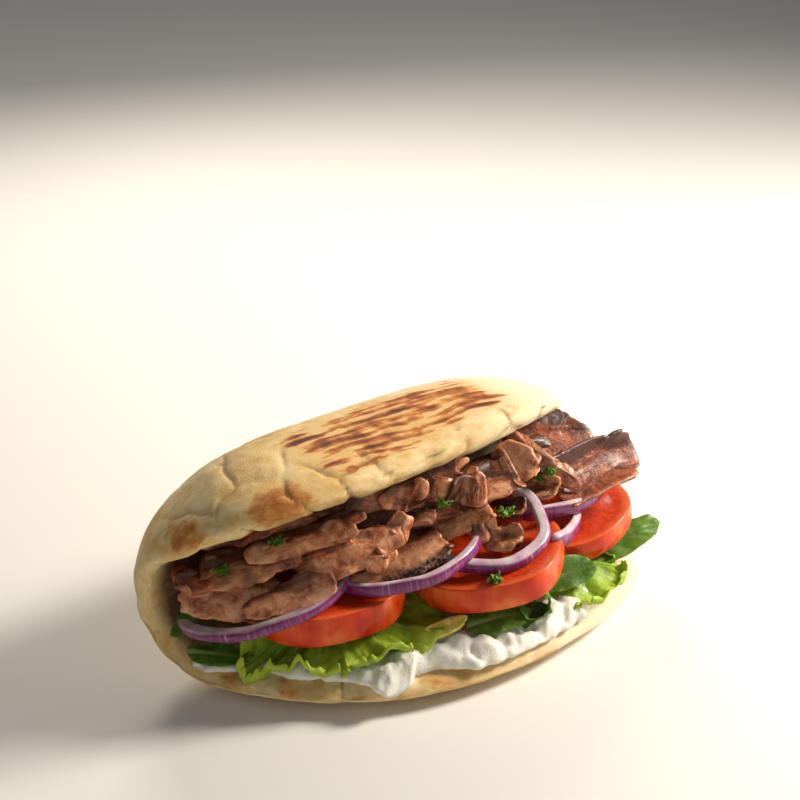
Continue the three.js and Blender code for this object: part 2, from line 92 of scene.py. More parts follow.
def scatter(*numbers):
    """A number from 0 to 1 that jumps about with its arguments, and is the same each run."""
    mixed = sum(number * step for number, step in zip(numbers, SCATTER_STEPS))
    value = np.sin(mixed) * SCATTER_STRETCH
    return value - np.floor(value)


def rumple(points, size, seed=0):
    """A smooth random height from -1 to 1 at each point, with lumps about that size."""
    turned = points @ np.array([[0.8, 0.6, 0], [-0.48, 0.64, 0.6], [0.36, -0.48, 0.8]])
    cells = turned / size + seed * 17.31
    corner = np.floor(cells)
    ease = smooth(cells - corner)
    height = 0
    for step in itertools.product((0, 1), repeat=3):
        share = np.prod(np.where(step, ease, 1 - ease), axis=-1)
        at = corner + step
        height = height + share * scatter(at[..., 0], at[..., 1], at[..., 2])
    return 2 * height - 1


def lens(face, rings, spokes, lower_rings=None):
    """Points and faces of a closed body from two faces that meet at its rim.

    face(r, angle, side) takes arrays and gives points, with r from 0 in the middle to 1 at the
    rim and side +1 on the upper face, -1 on the lower. Also gives each point's r, angle, side.
    """
    lower_rings = rings if lower_rings is None else lower_rings
    spoke = np.arange(spokes)
    angle = spoke / spokes * 2 * np.pi
    r, turn, side, faces = [], [], [], []
    start = {}
    for which, circles in ((1, rings), (-1, lower_rings)):
        inner = circles if which == 1 else circles[:-1]
        start[which] = sum(len(part) for part in r)
        r += [np.zeros(1), np.repeat(inner, spokes)]
        turn += [np.zeros(1), np.tile(angle, len(inner))]
        side += [np.full(1 + len(inner) * spokes, which)]
    r, turn, side = (np.concatenate(part) for part in (r, turn, side))
    rim = start[1] + 1 + (len(rings) - 1) * spokes
    following = (spoke + 1) % spokes
    for which, circles in ((1, rings), (-1, lower_rings)):
        rows = [start[which] + 1 + k * spokes for k in range(len(circles))]
        rows[-1] = rim
        fan = np.stack([np.full(spokes, start[which]), rows[0] + spoke, rows[0] + following], 1)
        faces += fan[:, ::which].tolist()
        for row, outer in zip(rows, rows[1:]):
            quads = np.stack([row + spoke, outer + spoke, outer + following, row + following], 1)
            faces += quads[:, ::which].tolist()
    points = face(r, turn, side)
    return points, faces, r, turn, side


def gather(parts):
    """One body's points, faces and marks from several bodies'."""
    points = np.concatenate([part[0] for part in parts])
    starts = np.cumsum([0] + [len(part[0]) for part in parts])
    faces = [[corner + start for corner in face] for start, part in zip(starts, parts) for face in part[1]]
    marks = {mark: np.concatenate([part[2][mark] for part in parts]) for mark in parts[0][2]}
    return points, faces, marks


def make_piece(name, points, faces, marks, finish, topping=None, topping_finish=None):
    """A smooth mesh from points in millimetres. Each mark is a named value at every point, and
    the topping is a second body in the same piece, with a finish of its own."""
    plain = len(faces)
    if topping:
        count = len(topping[0])
        blank = {mark: np.zeros((count,) + np.shape(values)[1:]) for mark, values in marks.items()}
        points, faces, marks = gather([(points, faces, marks), (*topping, blank)])
    mesh = bpy.data.meshes.new(name)
    mesh.from_pydata(((np.asarray(points) + MIDDLE) * MM).tolist(), [], faces)
    mesh.polygons.foreach_set("use_smooth", [True] * len(mesh.polygons))
    for mark, values in marks.items():
        values = np.asarray(values, dtype=np.float32)
        form = "FLOAT" if values.ndim == 1 else "FLOAT_VECTOR"
        layer = mesh.attributes.new(mark, form, "POINT")
        layer.data.foreach_set("value" if values.ndim == 1 else "vector", values.ravel())
    mesh.materials.append(finish)
    if topping:
        mesh.materials.append(topping_finish)
        mesh.polygons.foreach_set("material_index", [int(k >= plain) for k in range(len(faces))])
    mesh.update()
    piece = bpy.data.objects.new(name, mesh)
    bpy.context.collection.objects.link(piece)
    return piece


def colour(code):
    """The linear colour, with full alpha, of an sRGB hex code."""
    parts = [int(code[k:k + 2], 16) / 255 for k in (1, 3, 5)]
    return [c / 12.92 if c <= 0.04045 else ((c + 0.055) / 1.055) ** 2.4 for c in parts] + [1]


def new_finish(name):
    finish = bpy.data.materials.new(name)
    finish.use_nodes = True
    finish.node_tree.nodes.clear()
    return finish


def add(finish, kind, links=None, stops=None, **settings):
    """Adds a node of that kind. links maps each input to a value, another node or its output."""
    node = finish.node_tree.nodes.new("ShaderNode" + kind)
    for setting, value in settings.items():
        setattr(node, setting, value)
    if stops:
        ramp = node.color_ramp.elements
        while len(ramp) < len(stops):
            ramp.new(1)
        for stop, (place, shade) in zip(ramp, stops):
            stop.position = place
            stop.color = colour(shade) if isinstance(shade, str) else (shade, shade, shade, 1)
    for socket, value in (links or {}).items():
        if isinstance(value, bpy.types.Node):
            value = next(output for output in value.outputs if output.enabled)
        if isinstance(value, bpy.types.NodeSocket):
            finish.node_tree.links.new(value, node.inputs[socket])
        else:
            node.inputs[socket].default_value = value
    return node


def bread_outline(r, angle):
    """Where that radius and angle land on the flat oval: x, distance s from the fold, share of it."""
    lower = np.sin(angle) < 0
    power = np.where(lower, 2 / 2.4, 2 / 3.2)
    across = signed_power(np.sin(angle), power) * r
    x = BREAD_LENGTH / 2 * signed_power(np.cos(angle), power) * r
    x = x + np.where(lower, -LOWER_SKEW, UPPER_SKEW) * across
    return x, np.where(lower, LOWER_REACH, UPPER_REACH) * across, across


def fold(x, s, lift):
    """The flat oval's point (x, s) after folding, moved out by lift along its outward normal."""
    q = x / (BREAD_LENGTH / 2)
    radius = FOLD_RADIUS * (1 + FOLD_TAPER * q)
    mouth = (MOUTH_ANGLE + MOUTH_TWIST * q) * DEGREE
    sweep = np.pi - mouth
    along = s + sweep * radius / 2
    turn = np.clip(along / radius, 0, sweep)
    beyond = np.maximum(0, along - sweep * radius)
    slope = mouth + LIFT * beyond
    on_lower, on_upper = along < 0, beyond > 0
    inwards = np.where(on_lower, -along, -radius * np.sin(turn))
    z = LOWER_THICKNESS / 2 + radius * (1 - np.cos(turn))
    inwards = inwards + np.where(on_upper, (np.sin(slope) - np.sin(mouth)) / LIFT, 0)
    z = z + np.where(on_upper, (np.cos(mouth) - np.cos(slope)) / LIFT, 0)
    level = np.where(on_upper, np.cos(slope), np.where(on_lower, -1, -np.cos(turn)))
    steep = np.where(on_upper, np.sin(slope), np.where(on_lower, 0, np.sin(turn)))
    z = z + END_RISE * q * q * smooth(beyond / 60)
    return np.stack([x + FOLD_START[0], FOLD_START[1] - inwards + steep * lift, z + level * lift], -1)


def round_the_rim(r):
    """How far a point is from the rim, measured over the rounding of the edge."""
    return np.hypot(UPPER_REACH * (1 - r), UPPER_THICKNESS / 2 * np.sqrt(np.maximum(0, 1 - r ** 8)))


def cushion_centres():
    centres = list(RIM_CUSHIONS)
    for column, row in itertools.product(range(-6, 6), range(-6, 5)):
        x = (column + 0.15 + 0.7 * scatter(column, row)) * CUSHION_PITCH
        s = (row + 0.15 + 0.7 * scatter(row + 31, column)) * CUSHION_PITCH
        if all(math.hypot(x - a, s - b) > 0.8 * CUSHION_PITCH for a, b in RIM_CUSHIONS):
            centres.append((x, s))
    return np.array(centres)


def to_crease(x, s):
    """Distance from each point to the nearest crease between two cushions."""
    here = np.stack([x, s, 0 * x], -1)
    x = x + 2.2 * rumple(here, 9, 1) + 1.4 * rumple(here, 3.5, 2)
    s = s + 2.2 * rumple(here, 9, 3) + 1.4 * rumple(here, 3.5, 4)
    centres = cushion_centres()
    distance = np.hypot(x[:, None] - centres[:, 0], s[:, None] - centres[:, 1])
    order = np.argpartition(distance, 1, axis=1)[:, :2]
    first, second = (np.take_along_axis(distance, order, 1)[:, k] for k in (0, 1))
    apart = centres[order[:, 0]] - centres[order[:, 1]]
    return np.abs(second ** 2 - first ** 2) / (2 * np.hypot(apart[:, 0], apart[:, 1]))


def near(x, s, at, half_width, half_height):
    """1 at the middle of a soft-edged oval patch on the flat bread, falling to 0 outside it."""
    return smooth(1.5 - np.hypot((x - at[0]) / half_width, (s - at[1]) / half_height))


def bake_bread():
    """The bread's points and faces, and the marks that its crust takes its colours from."""
    fine = np.linspace(0, 1, 4000)
    reach = round_the_rim(fine)
    from_rim = np.concatenate([np.arange(0, RIM_BAND, RIM_STEP), np.arange(RIM_BAND, reach[0], INNER_STEP)])
    rings = np.interp(from_rim, reach[::-1], fine[::-1])[::-1]
    marks = {}

    def face(r, angle, side):
        x, s, across = bread_outline(r, angle)
        from_rim = round_the_rim(r)
        wrapped_x, wrapped_s, _ = bread_outline(1 - side * from_rim / UPPER_REACH, angle)
        here = np.stack([wrapped_x, wrapped_s, 15.0 * side * smooth(from_rim / 12)], -1)
        to_upper = smooth((s + 20) / 40)
        half = (LOWER_THICKNESS + (UPPER_THICKNESS - LOWER_THICKNESS) * to_upper) / 2
        half = half * np.sqrt(np.maximum(0, 1 - r ** 8))
        share = np.clip(across, 0, 1)
        arch = 4 * share * (1 - share) * (1 - r ** 4)
        edge = to_crease(wrapped_x, wrapped_s)
        # Creases are deep along the rims and at the left, and pressed flat where the grill was.
        by_rim = smooth((np.abs(wrapped_s + 6) - 72) / 7)
        at_left = smooth((-52 - wrapped_x) / 14) * smooth((wrapped_s - 2) / 16)
        pressed = smooth((wrapped_x + 56) / 16) * smooth((76 + 0.06 * wrapped_x - wrapped_s) / 4)
        deep = 0.1 + 0.8 * np.maximum(by_rim, 0.45 * at_left) + 0.45 * rumple(here, 12, 5)
        far = smooth((46 - wrapped_s) / 14) * smooth((wrapped_s - 8) / 10)
        deep = np.clip(deep, 0, 1) * (1 - 0.93 * pressed) * (1 - 0.6 * far)
        outside = np.where(side > 0, 1, smooth((17 - from_rim) / 6))
        calm = 1 - 0.65 * smooth((wrapped_x + 50) / 25) * (wrapped_s > 0)
        dome = calm * CUSHION_RISE * (0.2 + 0.8 * deep) * (1 - np.exp(-edge / 2))
        crease = CREASE_DEPTH * deep * np.exp(-edge / CREASE_WIDTH)
        swell = calm * (0.45 * rumple(here, 19, 6) + 0.25 * rumple(here, 8, 7))
        swell = swell + 0.09 * rumple(here, 2.6, 8)
        at_fold = smooth((-x - 62) / 25) * smooth(1 - np.abs(s + 4) / 34)
        wrinkle = at_fold * 1.2 * np.sin((s + 4 * rumple(here, 12, 9)) / 2.4) * (side > 0)
        relief = (dome - crease - 0.6 * CUSHION_RISE) * outside + swell + wrinkle
        lift = np.where(side > 0, half + PUFF * arch + relief, BOW * arch - half - relief)
        points = fold(x, s, lift)
        foot = (side > 0) & (points[:, 2] < GROUND)
        points[foot, 2] = GROUND - GROUND * smooth((GROUND - points[foot, 2]) / 1.2)
        marks["flat"] = here
        streaks = smooth((wrapped_x + 66) / 30) * smooth((58 - wrapped_x) / 22)
        streaks = streaks * smooth((wrapped_s - 44) / 12) * smooth((82 - wrapped_s - 0.06 * wrapped_x) / 9)
        marks["grilled"] = streaks * (side > 0)
        blister = 0
        for middle, half_width, half_height, darkness in SCORCHES:
            blister = blister + darkness * near(wrapped_x, wrapped_s, middle, half_width, half_height)
        marks["blister"] = blister * outside
        # Painted light: both halves are painted paler toward the right end, where the lamp falls.
        below = smooth((wrapped_x + 30) / 80) * smooth((10 - s) / 20)
        marks["pale"] = below + 0.8 * smooth((wrapped_x + 10) / 70) * to_upper
        # Painted shade: inside the fold at the left end the crust is painted dark brown, where the meat
        # shades it.
        soaked = smooth((from_rim - 4) / 8) * smooth((s + 34) / 24) * smooth((-wrapped_x - 20) / 30)
        marks["soaked"] = (side < 0) * soaked
        # Thin darker lines along the creases: partly the crust's own browner lines, partly painted shade in
        # the creases.
        marks["crease"] = np.exp(-(edge / 0.7) ** 2) * smooth(1.6 * deep - 0.2) * outside
        return points

    points, faces, *_ = lens(face, rings, BREAD_SPOKES, rings[(len(rings) + 1) % 2::2])
    return points, faces, marks


def baked_crust():
    """Baked wheat crust, stone-baked and grilled: matt and floury, cream where it is pale, with
    caramel to dark brown stripes. Starch scatters light a little way in, so edges glow warm."""
    crust = new_finish("baked_crust")
    flat = add(crust, "Attribute", attribute_name="flat").outputs["Vector"]
    apart = add(crust, "SeparateXYZ", {0: flat})
    large = add(crust, "TexNoise", {"Vector": flat, "Scale": 1 / 22, "Detail": 3.0})
    mottle = add(crust, "TexNoise", {"Vector": flat, "Scale": 1 / 5, "Detail": 5.0, "Roughness": 0.6})
    pale = add(crust, "ValToRGB", {0: large}, stops=[
        (0.35, "#CFA052"), (0.5, "#E2BF78"), (0.64, "#F0DAA6")])
    golden = add(crust, "ValToRGB", {0: mottle}, stops=[(0.38, "#D0A05A"), (0.6, "#F3E2B8")])
    dough = add(crust, "Mix", {0: 0.35, 6: pale, 7: golden}, data_type="RGBA")
    # Painted light: the crust turns pale cream toward the lit right end.
    crumb = add(crust, "Attribute", attribute_name="pale").outputs["Fac"]
    crumb = add(crust, "Math", {0: crumb, 1: 0.85}, operation="MULTIPLY")
    dough = add(crust, "Mix", {0: crumb, 6: dough, 7: colour("#F4E9CC")}, data_type="RGBA")
    # Painted shade: the inside of the fold at the left end turns deep brown, where the meat shades it.
    soaked = add(crust, "Attribute", attribute_name="soaked").outputs["Fac"]
    juice = add(crust, "Math", {0: soaked, 1: large}, operation="MULTIPLY")
    juice = add(crust, "MapRange", {0: juice, 1: 0.05, 2: 0.5, 3: 0.0, 4: 0.95})
    dough = add(crust, "Mix", {0: juice, 6: dough, 7: colour("#4E2A12")}, data_type="RGBA")
    # Round the stripes the hot ridges have dried the crust to gold.
    warm = add(crust, "Attribute", attribute_name="grilled").outputs["Fac"]
    warm = add(crust, "Math", {0: warm, 1: mottle}, operation="MULTIPLY")
    dough = add(crust, "Mix", {0: warm, 6: dough, 7: colour("#D09A4C")}, data_type="RGBA")
    # Stripes 3.3 mm apart, as the grill's ridges are, smeared and broken where the crust rose.
    bent = add(crust, "TexNoise", {"Vector": flat, "Scale": 1 / 34, "Detail": 1.0})
    slant = add(crust, "Math", {
        0: apart.outputs[0], 1: -0.06, 2: apart.outputs[1]}, operation="MULTIPLY_ADD")
    bend = add(crust, "Math", {0: bent, 1: 7.0, 2: slant}, operation="MULTIPLY_ADD")
    phase = add(crust, "Math", {0: bend, 1: 2 * math.pi / 3.3}, operation="MULTIPLY")
    ridge = add(crust, "Math", {0: phase}, operation="SINE")
    along = add(crust, "CombineXYZ", {0: apart.outputs[0], 1: bend})
    drawn = add(crust, "VectorMath", {0: along, 1: (1 / 19, 1 / 2.6, 1)}, operation="MULTIPLY")
    broken = add(crust, "TexNoise", {"Vector": drawn, "Scale": 1.0, "Detail": 3.0, "Roughness": 0.55})
    cloud = add(crust, "TexNoise", {"Vector": flat, "Scale": 1 / 13, "Detail": 3.0, "Roughness": 0.6})
    clouded = add(crust, "Math", {0: cloud, 1: 3.2, 2: -1.6}, operation="MULTIPLY_ADD")
    smeared = add(crust, "Math", {0: broken, 1: 5.0, 2: clouded}, operation="MULTIPLY_ADD")
    touch = add(crust, "Math", {0: ridge, 1: 0.34, 2: smeared}, operation="MULTIPLY_ADD")
    grilled = add(crust, "Attribute", attribute_name="grilled").outputs["Fac"]
    reach = add(crust, "Math", {0: grilled, 1: 2.4, 2: -4.35}, operation="MULTIPLY_ADD")
    brown = add(crust, "Math", {0: touch, 1: reach}, operation="ADD")
    streak = add(crust, "MapRange", {0: brown, 1: -0.3, 2: 1.7})
    blister = add(crust, "Attribute", attribute_name="blister").outputs["Fac"]
    ragged = add(crust, "Math", {0: mottle, 1: 2.0, 2: -1.05}, operation="MULTIPLY_ADD")
    patch = add(crust, "Math", {0: blister, 1: ragged}, operation="ADD")
    patch = add(crust, "MapRange", {0: patch, 1: 0.25, 2: 1.5, 3: 0.0, 4: 0.5})
    speck = add(crust, "TexNoise", {"Vector": flat, "Scale": 1 / 2.4, "Detail": 2.0})
    speck = add(crust, "MapRange", {0: speck, 1: 0.66, 2: 0.8, 3: 0.0, 4: 0.3})
    darkest = add(crust, "Math", {0: streak, 1: patch}, operation="MAXIMUM")
    darkest = add(crust, "Math", {0: darkest, 1: speck}, operation="MAXIMUM")
    toast = add(crust, "ValToRGB", {0: darkest}, stops=[
        (0.0, "#EBD3A0"), (0.2, "#DCA75E"), (0.4, "#BC7430"), (0.62, "#8E4818"), (1.0, "#4A1D0A")])
    cover = add(crust, "MapRange", {0: darkest, 1: 0.03, 2: 0.3})
    top = add(crust, "Mix", {0: cover, 6: dough, 7: toast}, data_type="RGBA")
    # The creases are darkened: partly the crust's own brown lines, partly painted shade in the creases.
    crease = add(crust, "Attribute", attribute_name="crease").outputs["Fac"]
    shaded = add(crust, "Math", {0: crease, 1: 0.7}, operation="MULTIPLY")
    skin = add(crust, "Mix", {0: shaded, 6: top, 7: colour("#8E6434")}, data_type="RGBA")
    flour = add(crust, "TexNoise", {"Vector": flat, "Scale": 1 / 0.7, "Detail": 4.0, "Roughness": 0.7})
    bump = add(crust, "Bump", {"Height": flour, "Strength": 0.5, "Distance": 0.0005})
    surface = add(crust, "BsdfPrincipled", {
        "Base Color": skin, "Normal": bump, "Roughness": 0.72, "IOR": 1.45,
        "Subsurface Weight": 0.2, "Subsurface Radius": (1.0, 0.55, 0.25), "Subsurface Scale": 0.002})
    add(crust, "OutputMaterial", {0: surface})
    return crust


bread = make_piece("flatbread", *bake_bread(), baked_crust())
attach(bread, "root")
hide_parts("bread")


# ------------------------------------------------------------------ the tomato slices
# Three thick slices cut across a ripe beef tomato: a tight glossy skin round firm outer flesh,
# with soft jelly and seeds in the chambers. They lie on the lettuce, slightly tipped.

TOMATO_RADIUS = 32
TOMATOES = {
    "tomato_slice_left": dict(at=(-48.3, 8.6, 28.4), slopes=(0.0, -0.07), thickness=11.5, phase=0.4),
    "tomato_slice_middle": dict(at=(8.2, -21.6, 31.9), slopes=(0.1, -0.11), thickness=10.5, phase=2.1),
    "tomato_slice_right": dict(at=(58, -14.5, 28.3), slopes=(0.13, -0.05), thickness=9, phase=4.0),
}
SKIN_ROUNDING = 0.8
CUT_SHARE = 0.8  # r runs over the cut face to here, then round its edge and down the skin
TOMATO_RINGS, SKIN_RINGS, TOMATO_SPOKES = 20, 18, 140
FLECKED, FLECK_OUT, FLECK_TURN = "tomato_slice_middle", 0.88 * TOMATO_RADIUS, -126 * DEGREE
PARSLEY_LEAFLETS, PARSLEY_SPREAD = 13, 3.2
LEAFLET_TURN = 2.4  # radians from one leaflet to the next, so that no two line up


def tipped(at, slopes):
    """The place of something flat that lies at a point with those slopes along X and Y."""
    normal = Vector((-slopes[0], -slopes[1], 1)).normalized()
    turn = Vector((0, 0, 1)).rotation_difference(normal).to_matrix().to_4x4()
    return Matrix.Translation(at) @ turn


def moved(points, place):
    place = np.array(place)
    return points @ place[:3, :3].T + place[:3, 3]


def placed(at, heading=0, climb=0, lean=0):
    """A place turned by heading in plan, then raised by climb along it and tilted by lean about it."""
    turn = Matrix.Rotation(heading * DEGREE, 4, "Z") @ Matrix.Rotation(-climb * DEGREE, 4, "Y")
    return Matrix.Translation(at) @ turn @ Matrix.Rotation(lean * DEGREE, 4, "X")


def cut_tomato(at, slopes, thickness, phase):
    """One slice's points and faces, and where each point lies in the tomato."""
    half = thickness / 2
    rings = np.concatenate([
        np.linspace(0.03, CUT_SHARE, TOMATO_RINGS), np.linspace(CUT_SHARE + 0.01, 1, SKIN_RINGS)])
    marks = {}

    def face(r, angle, side):
        lobe = 1 + 0.018 * np.cos(5 * angle + phase) + 0.012 * np.cos(2 * angle - phase)
        on_skin = np.clip((r - CUT_SHARE) / (1 - CUT_SHARE), 0, 1)
        corner = np.clip(on_skin / 0.3, 0, 1) * np.pi / 2
        down = np.clip((on_skin - 0.3) / 0.7, 0, 1)
        reach = TOMATO_RADIUS * lobe - 0.4 - SKIN_ROUNDING
        round_edge_out = reach + SKIN_ROUNDING * np.sin(corner) + 0.5 * np.sin(down * np.pi / 2)
        on_cut = r < CUT_SHARE
        out = np.where(on_cut, reach * r / CUT_SHARE, round_edge_out)
        level = half - SKIN_ROUNDING * (1 - np.cos(corner)) - down * (half - SKIN_ROUNDING)
        chamber = np.cos(5 * angle + phase) * smooth((r - 0.2) / 0.15) * smooth((0.66 - r) / 0.12)
        sag = 0.9 * smooth(chamber) * on_cut
        spot = np.stack([out * np.cos(angle), out * np.sin(angle), side * 5.0], -1)
        level = level - sag + 0.18 * rumple(spot, 5, phase) * on_cut
        marks["slice"] = np.stack([out * np.cos(angle), out * np.sin(angle), side * level], -1)
        marks["jelly"] = smooth(chamber * 1.4)
        marks["skin"] = smooth((r - CUT_SHARE - 0.015) / 0.03)
        # A band along the cut edge: partly the paler outer wall of the flesh, partly a painted highlight.
        marks["rind"] = np.exp(-((r - CUT_SHARE + 0.01) / 0.035) ** 2)
        return moved(marks["slice"], tipped(at, slopes))

    points, faces, *_ = lens(face, rings, TOMATO_SPOKES)
    return points, faces, marks


def ripe_tomato():
    """Ripe tomato, cut with a sharp knife: waxed-looking skin that mirrors the lamps, and wet flesh
    that light enters deeply. Skin is orange-red with faint paler streaks from pole to pole."""
    ripe = new_finish("ripe_tomato")
    place = add(ripe, "Attribute", attribute_name="slice").outputs["Vector"]
    skin = add(ripe, "Attribute", attribute_name="skin").outputs["Fac"]
    jelly = add(ripe, "Attribute", attribute_name="jelly").outputs["Fac"]
    stretched = add(ripe, "VectorMath", {0: place, 1: (0.4, 0.4, 0.07)}, operation="MULTIPLY")
    streaks = add(ripe, "TexNoise", {"Vector": stretched, "Scale": 1.0, "Detail": 3.0})
    patches = add(ripe, "TexNoise", {"Vector": place, "Scale": 1 / 14, "Detail": 2.0})
    both = add(ripe, "Math", {0: streaks, 1: 0.25, 2: patches}, operation="MULTIPLY_ADD")
    peel = add(ripe, "ValToRGB", {0: both}, stops=[(0.42, "#C42A08"), (0.62, "#E04A14"), (0.85, "#F08440")])
    fibre = add(ripe, "TexNoise", {"Vector": place, "Scale": 1 / 1.8, "Detail": 4.0, "Roughness": 0.6})
    flesh = add(ripe, "ValToRGB", {0: fibre}, stops=[
        (0.25, "#C42C0C"), (0.55, "#DA4216"), (0.85, "#EC6C36")])
    gel = add(ripe, "Mix", {0: jelly, 6: flesh, 7: colour("#D9481A")}, data_type="RGBA")
    shade = add(ripe, "Mix", {0: skin, 6: gel, 7: peel}, data_type="RGBA")
    # Partly the paler outer wall of the flesh, partly a painted highlight along the cut edge.
    rind = add(ripe, "Attribute", attribute_name="rind").outputs["Fac"]
    rind = add(ripe, "Math", {0: rind, 1: 0.6}, operation="MULTIPLY")
    shade = add(ripe, "Mix", {0: rind, 6: shade, 7: colour("#F0824A")}, data_type="RGBA")
    rough = add(ripe, "MapRange", {0: skin, 3: 0.3, 4: 0.24})
    grain = add(ripe, "MapRange", {0: skin, 3: 0.5, 4: 0.04})
    bump = add(ripe, "Bump", {"Height": fibre, "Strength": grain, "Distance": 0.0006})
    surface = add(ripe, "BsdfPrincipled", {
        "Base Color": shade, "Roughness": rough, "Normal": bump, "IOR": 1.4,
        "Subsurface Weight": 0.35, "Subsurface Radius": (1.0, 0.25, 0.12), "Subsurface Scale": 0.003,
        "Specular IOR Level": 0.35, "Coat Weight": 0.12, "Coat Roughness": 0.1})
    add(ripe, "OutputMaterial", {0: surface})
    return ripe


def chop_parsley(spots):
    """Points and faces of a fleck of parsley, a cluster of curled leaflets, at each spot."""
    bodies = []
    for k, spot in enumerate(spots):
        for n in range(PARSLEY_LEAFLETS):
            turn, tip, away = (scatter(k, n, part) for part in (1, 2, 3))
            size = 0.75 + 0.7 * scatter(k, n, 4)
            out, around = away * PARSLEY_SPREAD, n * LEAFLET_TURN
            centre = np.array(spot) + (out * math.cos(around), out * math.sin(around), 0.6 + 1.2 * tip)
            place = placed(centre, 360 * turn, 70 * tip - 20, 80 * away - 40)

            def leaflet(r, angle, side):
                reach = size * (1 + 0.35 * np.cos(3 * angle)) * r
                cup = 0.3 * size * r * r + side * 0.12 * np.sqrt(1 - r ** 4)
                return moved(np.stack([1.4 * reach * np.cos(angle), reach * np.sin(angle), cup], -1), place)

            bodies.append((*lens(leaflet, np.array([0.5, 1]), 14)[:2], {}))
    points, faces, _ = gather(bodies)
    return points, faces


def parsley():
    """Chopped fresh parsley: thin, matt and bright green, lighter where it is torn."""
    herb = new_finish("parsley")
    spot = add(herb, "NewGeometry").outputs["Position"]
    uneven = add(herb, "TexNoise", {"Vector": spot, "Scale": 700.0, "Detail": 2.0})
    shade = add(herb, "ValToRGB", {0: uneven}, stops=[
        (0.35, "#4E8A20"), (0.55, "#8FBE46"), (0.7, "#C8E088")])
    blade = add(herb, "BsdfPrincipled", {"Base Color": shade, "Roughness": 0.5})
    through = add(herb, "BsdfTranslucent", {0: shade})
    both = add(herb, "MixShader", {0: 0.3, 1: blade, 2: through})
    add(herb, "OutputMaterial", {0: both})
    return herb


parsley_finish = parsley()
tomato_finish = ripe_tomato()
for name, spec in TOMATOES.items():
    flecks = None
    if name == FLECKED:
        fleck = (FLECK_OUT * math.cos(FLECK_TURN), FLECK_OUT * math.sin(FLECK_TURN), spec["thickness"] / 2)
        flecks = chop_parsley(moved(np.array([fleck]), tipped(spec["at"], spec["slopes"])))
    slice_of_tomato = make_piece(
        name + "_cut", *cut_tomato(**spec), tomato_finish, flecks, parsley_finish)
    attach(slice_of_tomato, "root")
    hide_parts(name)


# ------------------------------------------------------------------ the red onion rings
# Rings and arcs sliced across a red onion, one layer each: purple skin outside, white crisp
# flesh inside and on the cut edges. They lie loose on the tomatoes and lean on the meat.

ONIONS = {
    "onion_ring_left": dict(
        at=(-65, 19.5, 31.8), slopes=(0.22, -0.21), radius=34.5, wall=4.6, height=4.1, phase=0.5),
    "onion_ring_middle": dict(
        at=(-22.8, -3.6, 37.8), slopes=(0.05, -0.15), radius=31.6, wall=2.8, height=5.0, phase=1.6),
    "onion_ring_upright": dict(
        at=(9.3, -18.3, 43.4), slopes=(0.25, 0.15), radius=26.3, wall=4.2, height=5.2, phase=3.1),
    "onion_arc_right": dict(
        at=(51.9, -2.8, 42), slopes=(0.03, 0), radius=35.4, wall=2.6, height=5.8, phase=0.2,
        start=-138, stop=-18),
    "onion_arc_short": dict(
        at=(27.1, -14.8, 38.6), slopes=(-0.1, 0.1), radius=30.1, wall=3.4, height=7.5,
        start=-96, stop=-20),
}
ONION_SIDES = 28  # points round the cut of a ring
ONION_STEPS = 0.7  # for each degree along it


def tucked_in(points):
    """The points, with what would pass through the wall of the fold pressed back into it."""
    x, y, z = points.T
    radius = FOLD_RADIUS * (1 + FOLD_TAPER * (x - FOLD_START[0]) / (BREAD_LENGTH / 2))
    middle = LOWER_THICKNESS / 2 + radius
    back, up = y - FOLD_START[1], z - middle
    share = np.where(back > 0, np.minimum(1, radius / np.hypot(back, up)), 1)
    return np.stack([x, FOLD_START[1] + back * share, middle + up * share], -1)


def slice_onion(at, slopes, radius, wall, height, phase=0, start=0, stop=360):
    """A ring's or arc's points and faces, and where each point lies in the layer."""
    whole = stop - start == 360
    steps = int((stop - start) * ONION_STEPS)
    sides = ONION_SIDES
    rows = steps if whole else steps + 1
    t, around = np.meshgrid(np.arange(rows) / steps, np.arange(sides) / sides * 2 * np.pi, indexing="ij")
    t, around = t.ravel(), around.ravel()
    angle = (start + t * (stop - start)) * DEGREE
    # A rounded box: flat sides, and corners that a knife and a little drying have softened.
    inward = signed_power(np.cos(around), 0.42)
    upward = signed_power(np.sin(around), 0.42)
    taper = 1 if whole else 0.75 + 0.25 * smooth(np.minimum(t, 1 - t) / 0.04)
    out = -wall / 2 * (1 - inward * taper) + 0.6 * (1 - upward ** 2) * smooth(inward)
    reach = radius * (1 + 0.05 * np.cos(2 * angle + phase)) + 0.35 * np.sin(7 * angle + phase)
    warp = 1.1 * np.sin(2 * angle + 2 * phase)
    rise = warp + height * (0.5 + 0.5 * upward * taper)
    local = np.stack([np.cos(angle) * 30, np.sin(angle) * 30, rise], -1)
    rise = rise + 0.2 * rumple(local, 5, phase) * upward
    points = np.stack([(reach + out) * np.cos(angle), (reach + out) * np.sin(angle), rise], -1)
    faces = []
    for k in range(steps):
        here, there = k * sides, (k + 1) % rows * sides
        for s in range(sides):
            n = (s + 1) % sides
            faces.append((here + s, here + n, there + n, there + s))
    if not whole:
        faces.append(tuple(range(sides))[::-1])
        faces.append(tuple(range((rows - 1) * sides, rows * sides)))
    cut = smooth((upward - 0.7 - 0.15 * rumple(local, 6, 2)) / 0.25)
    marks = {
        "ring": np.stack([angle * radius, rise, out], -1),
        "purple": smooth((inward - 0.1) / 0.6) * (1 - 0.8 * cut),
    }
    return tucked_in(moved(points, tipped(at, slopes))), faces, marks


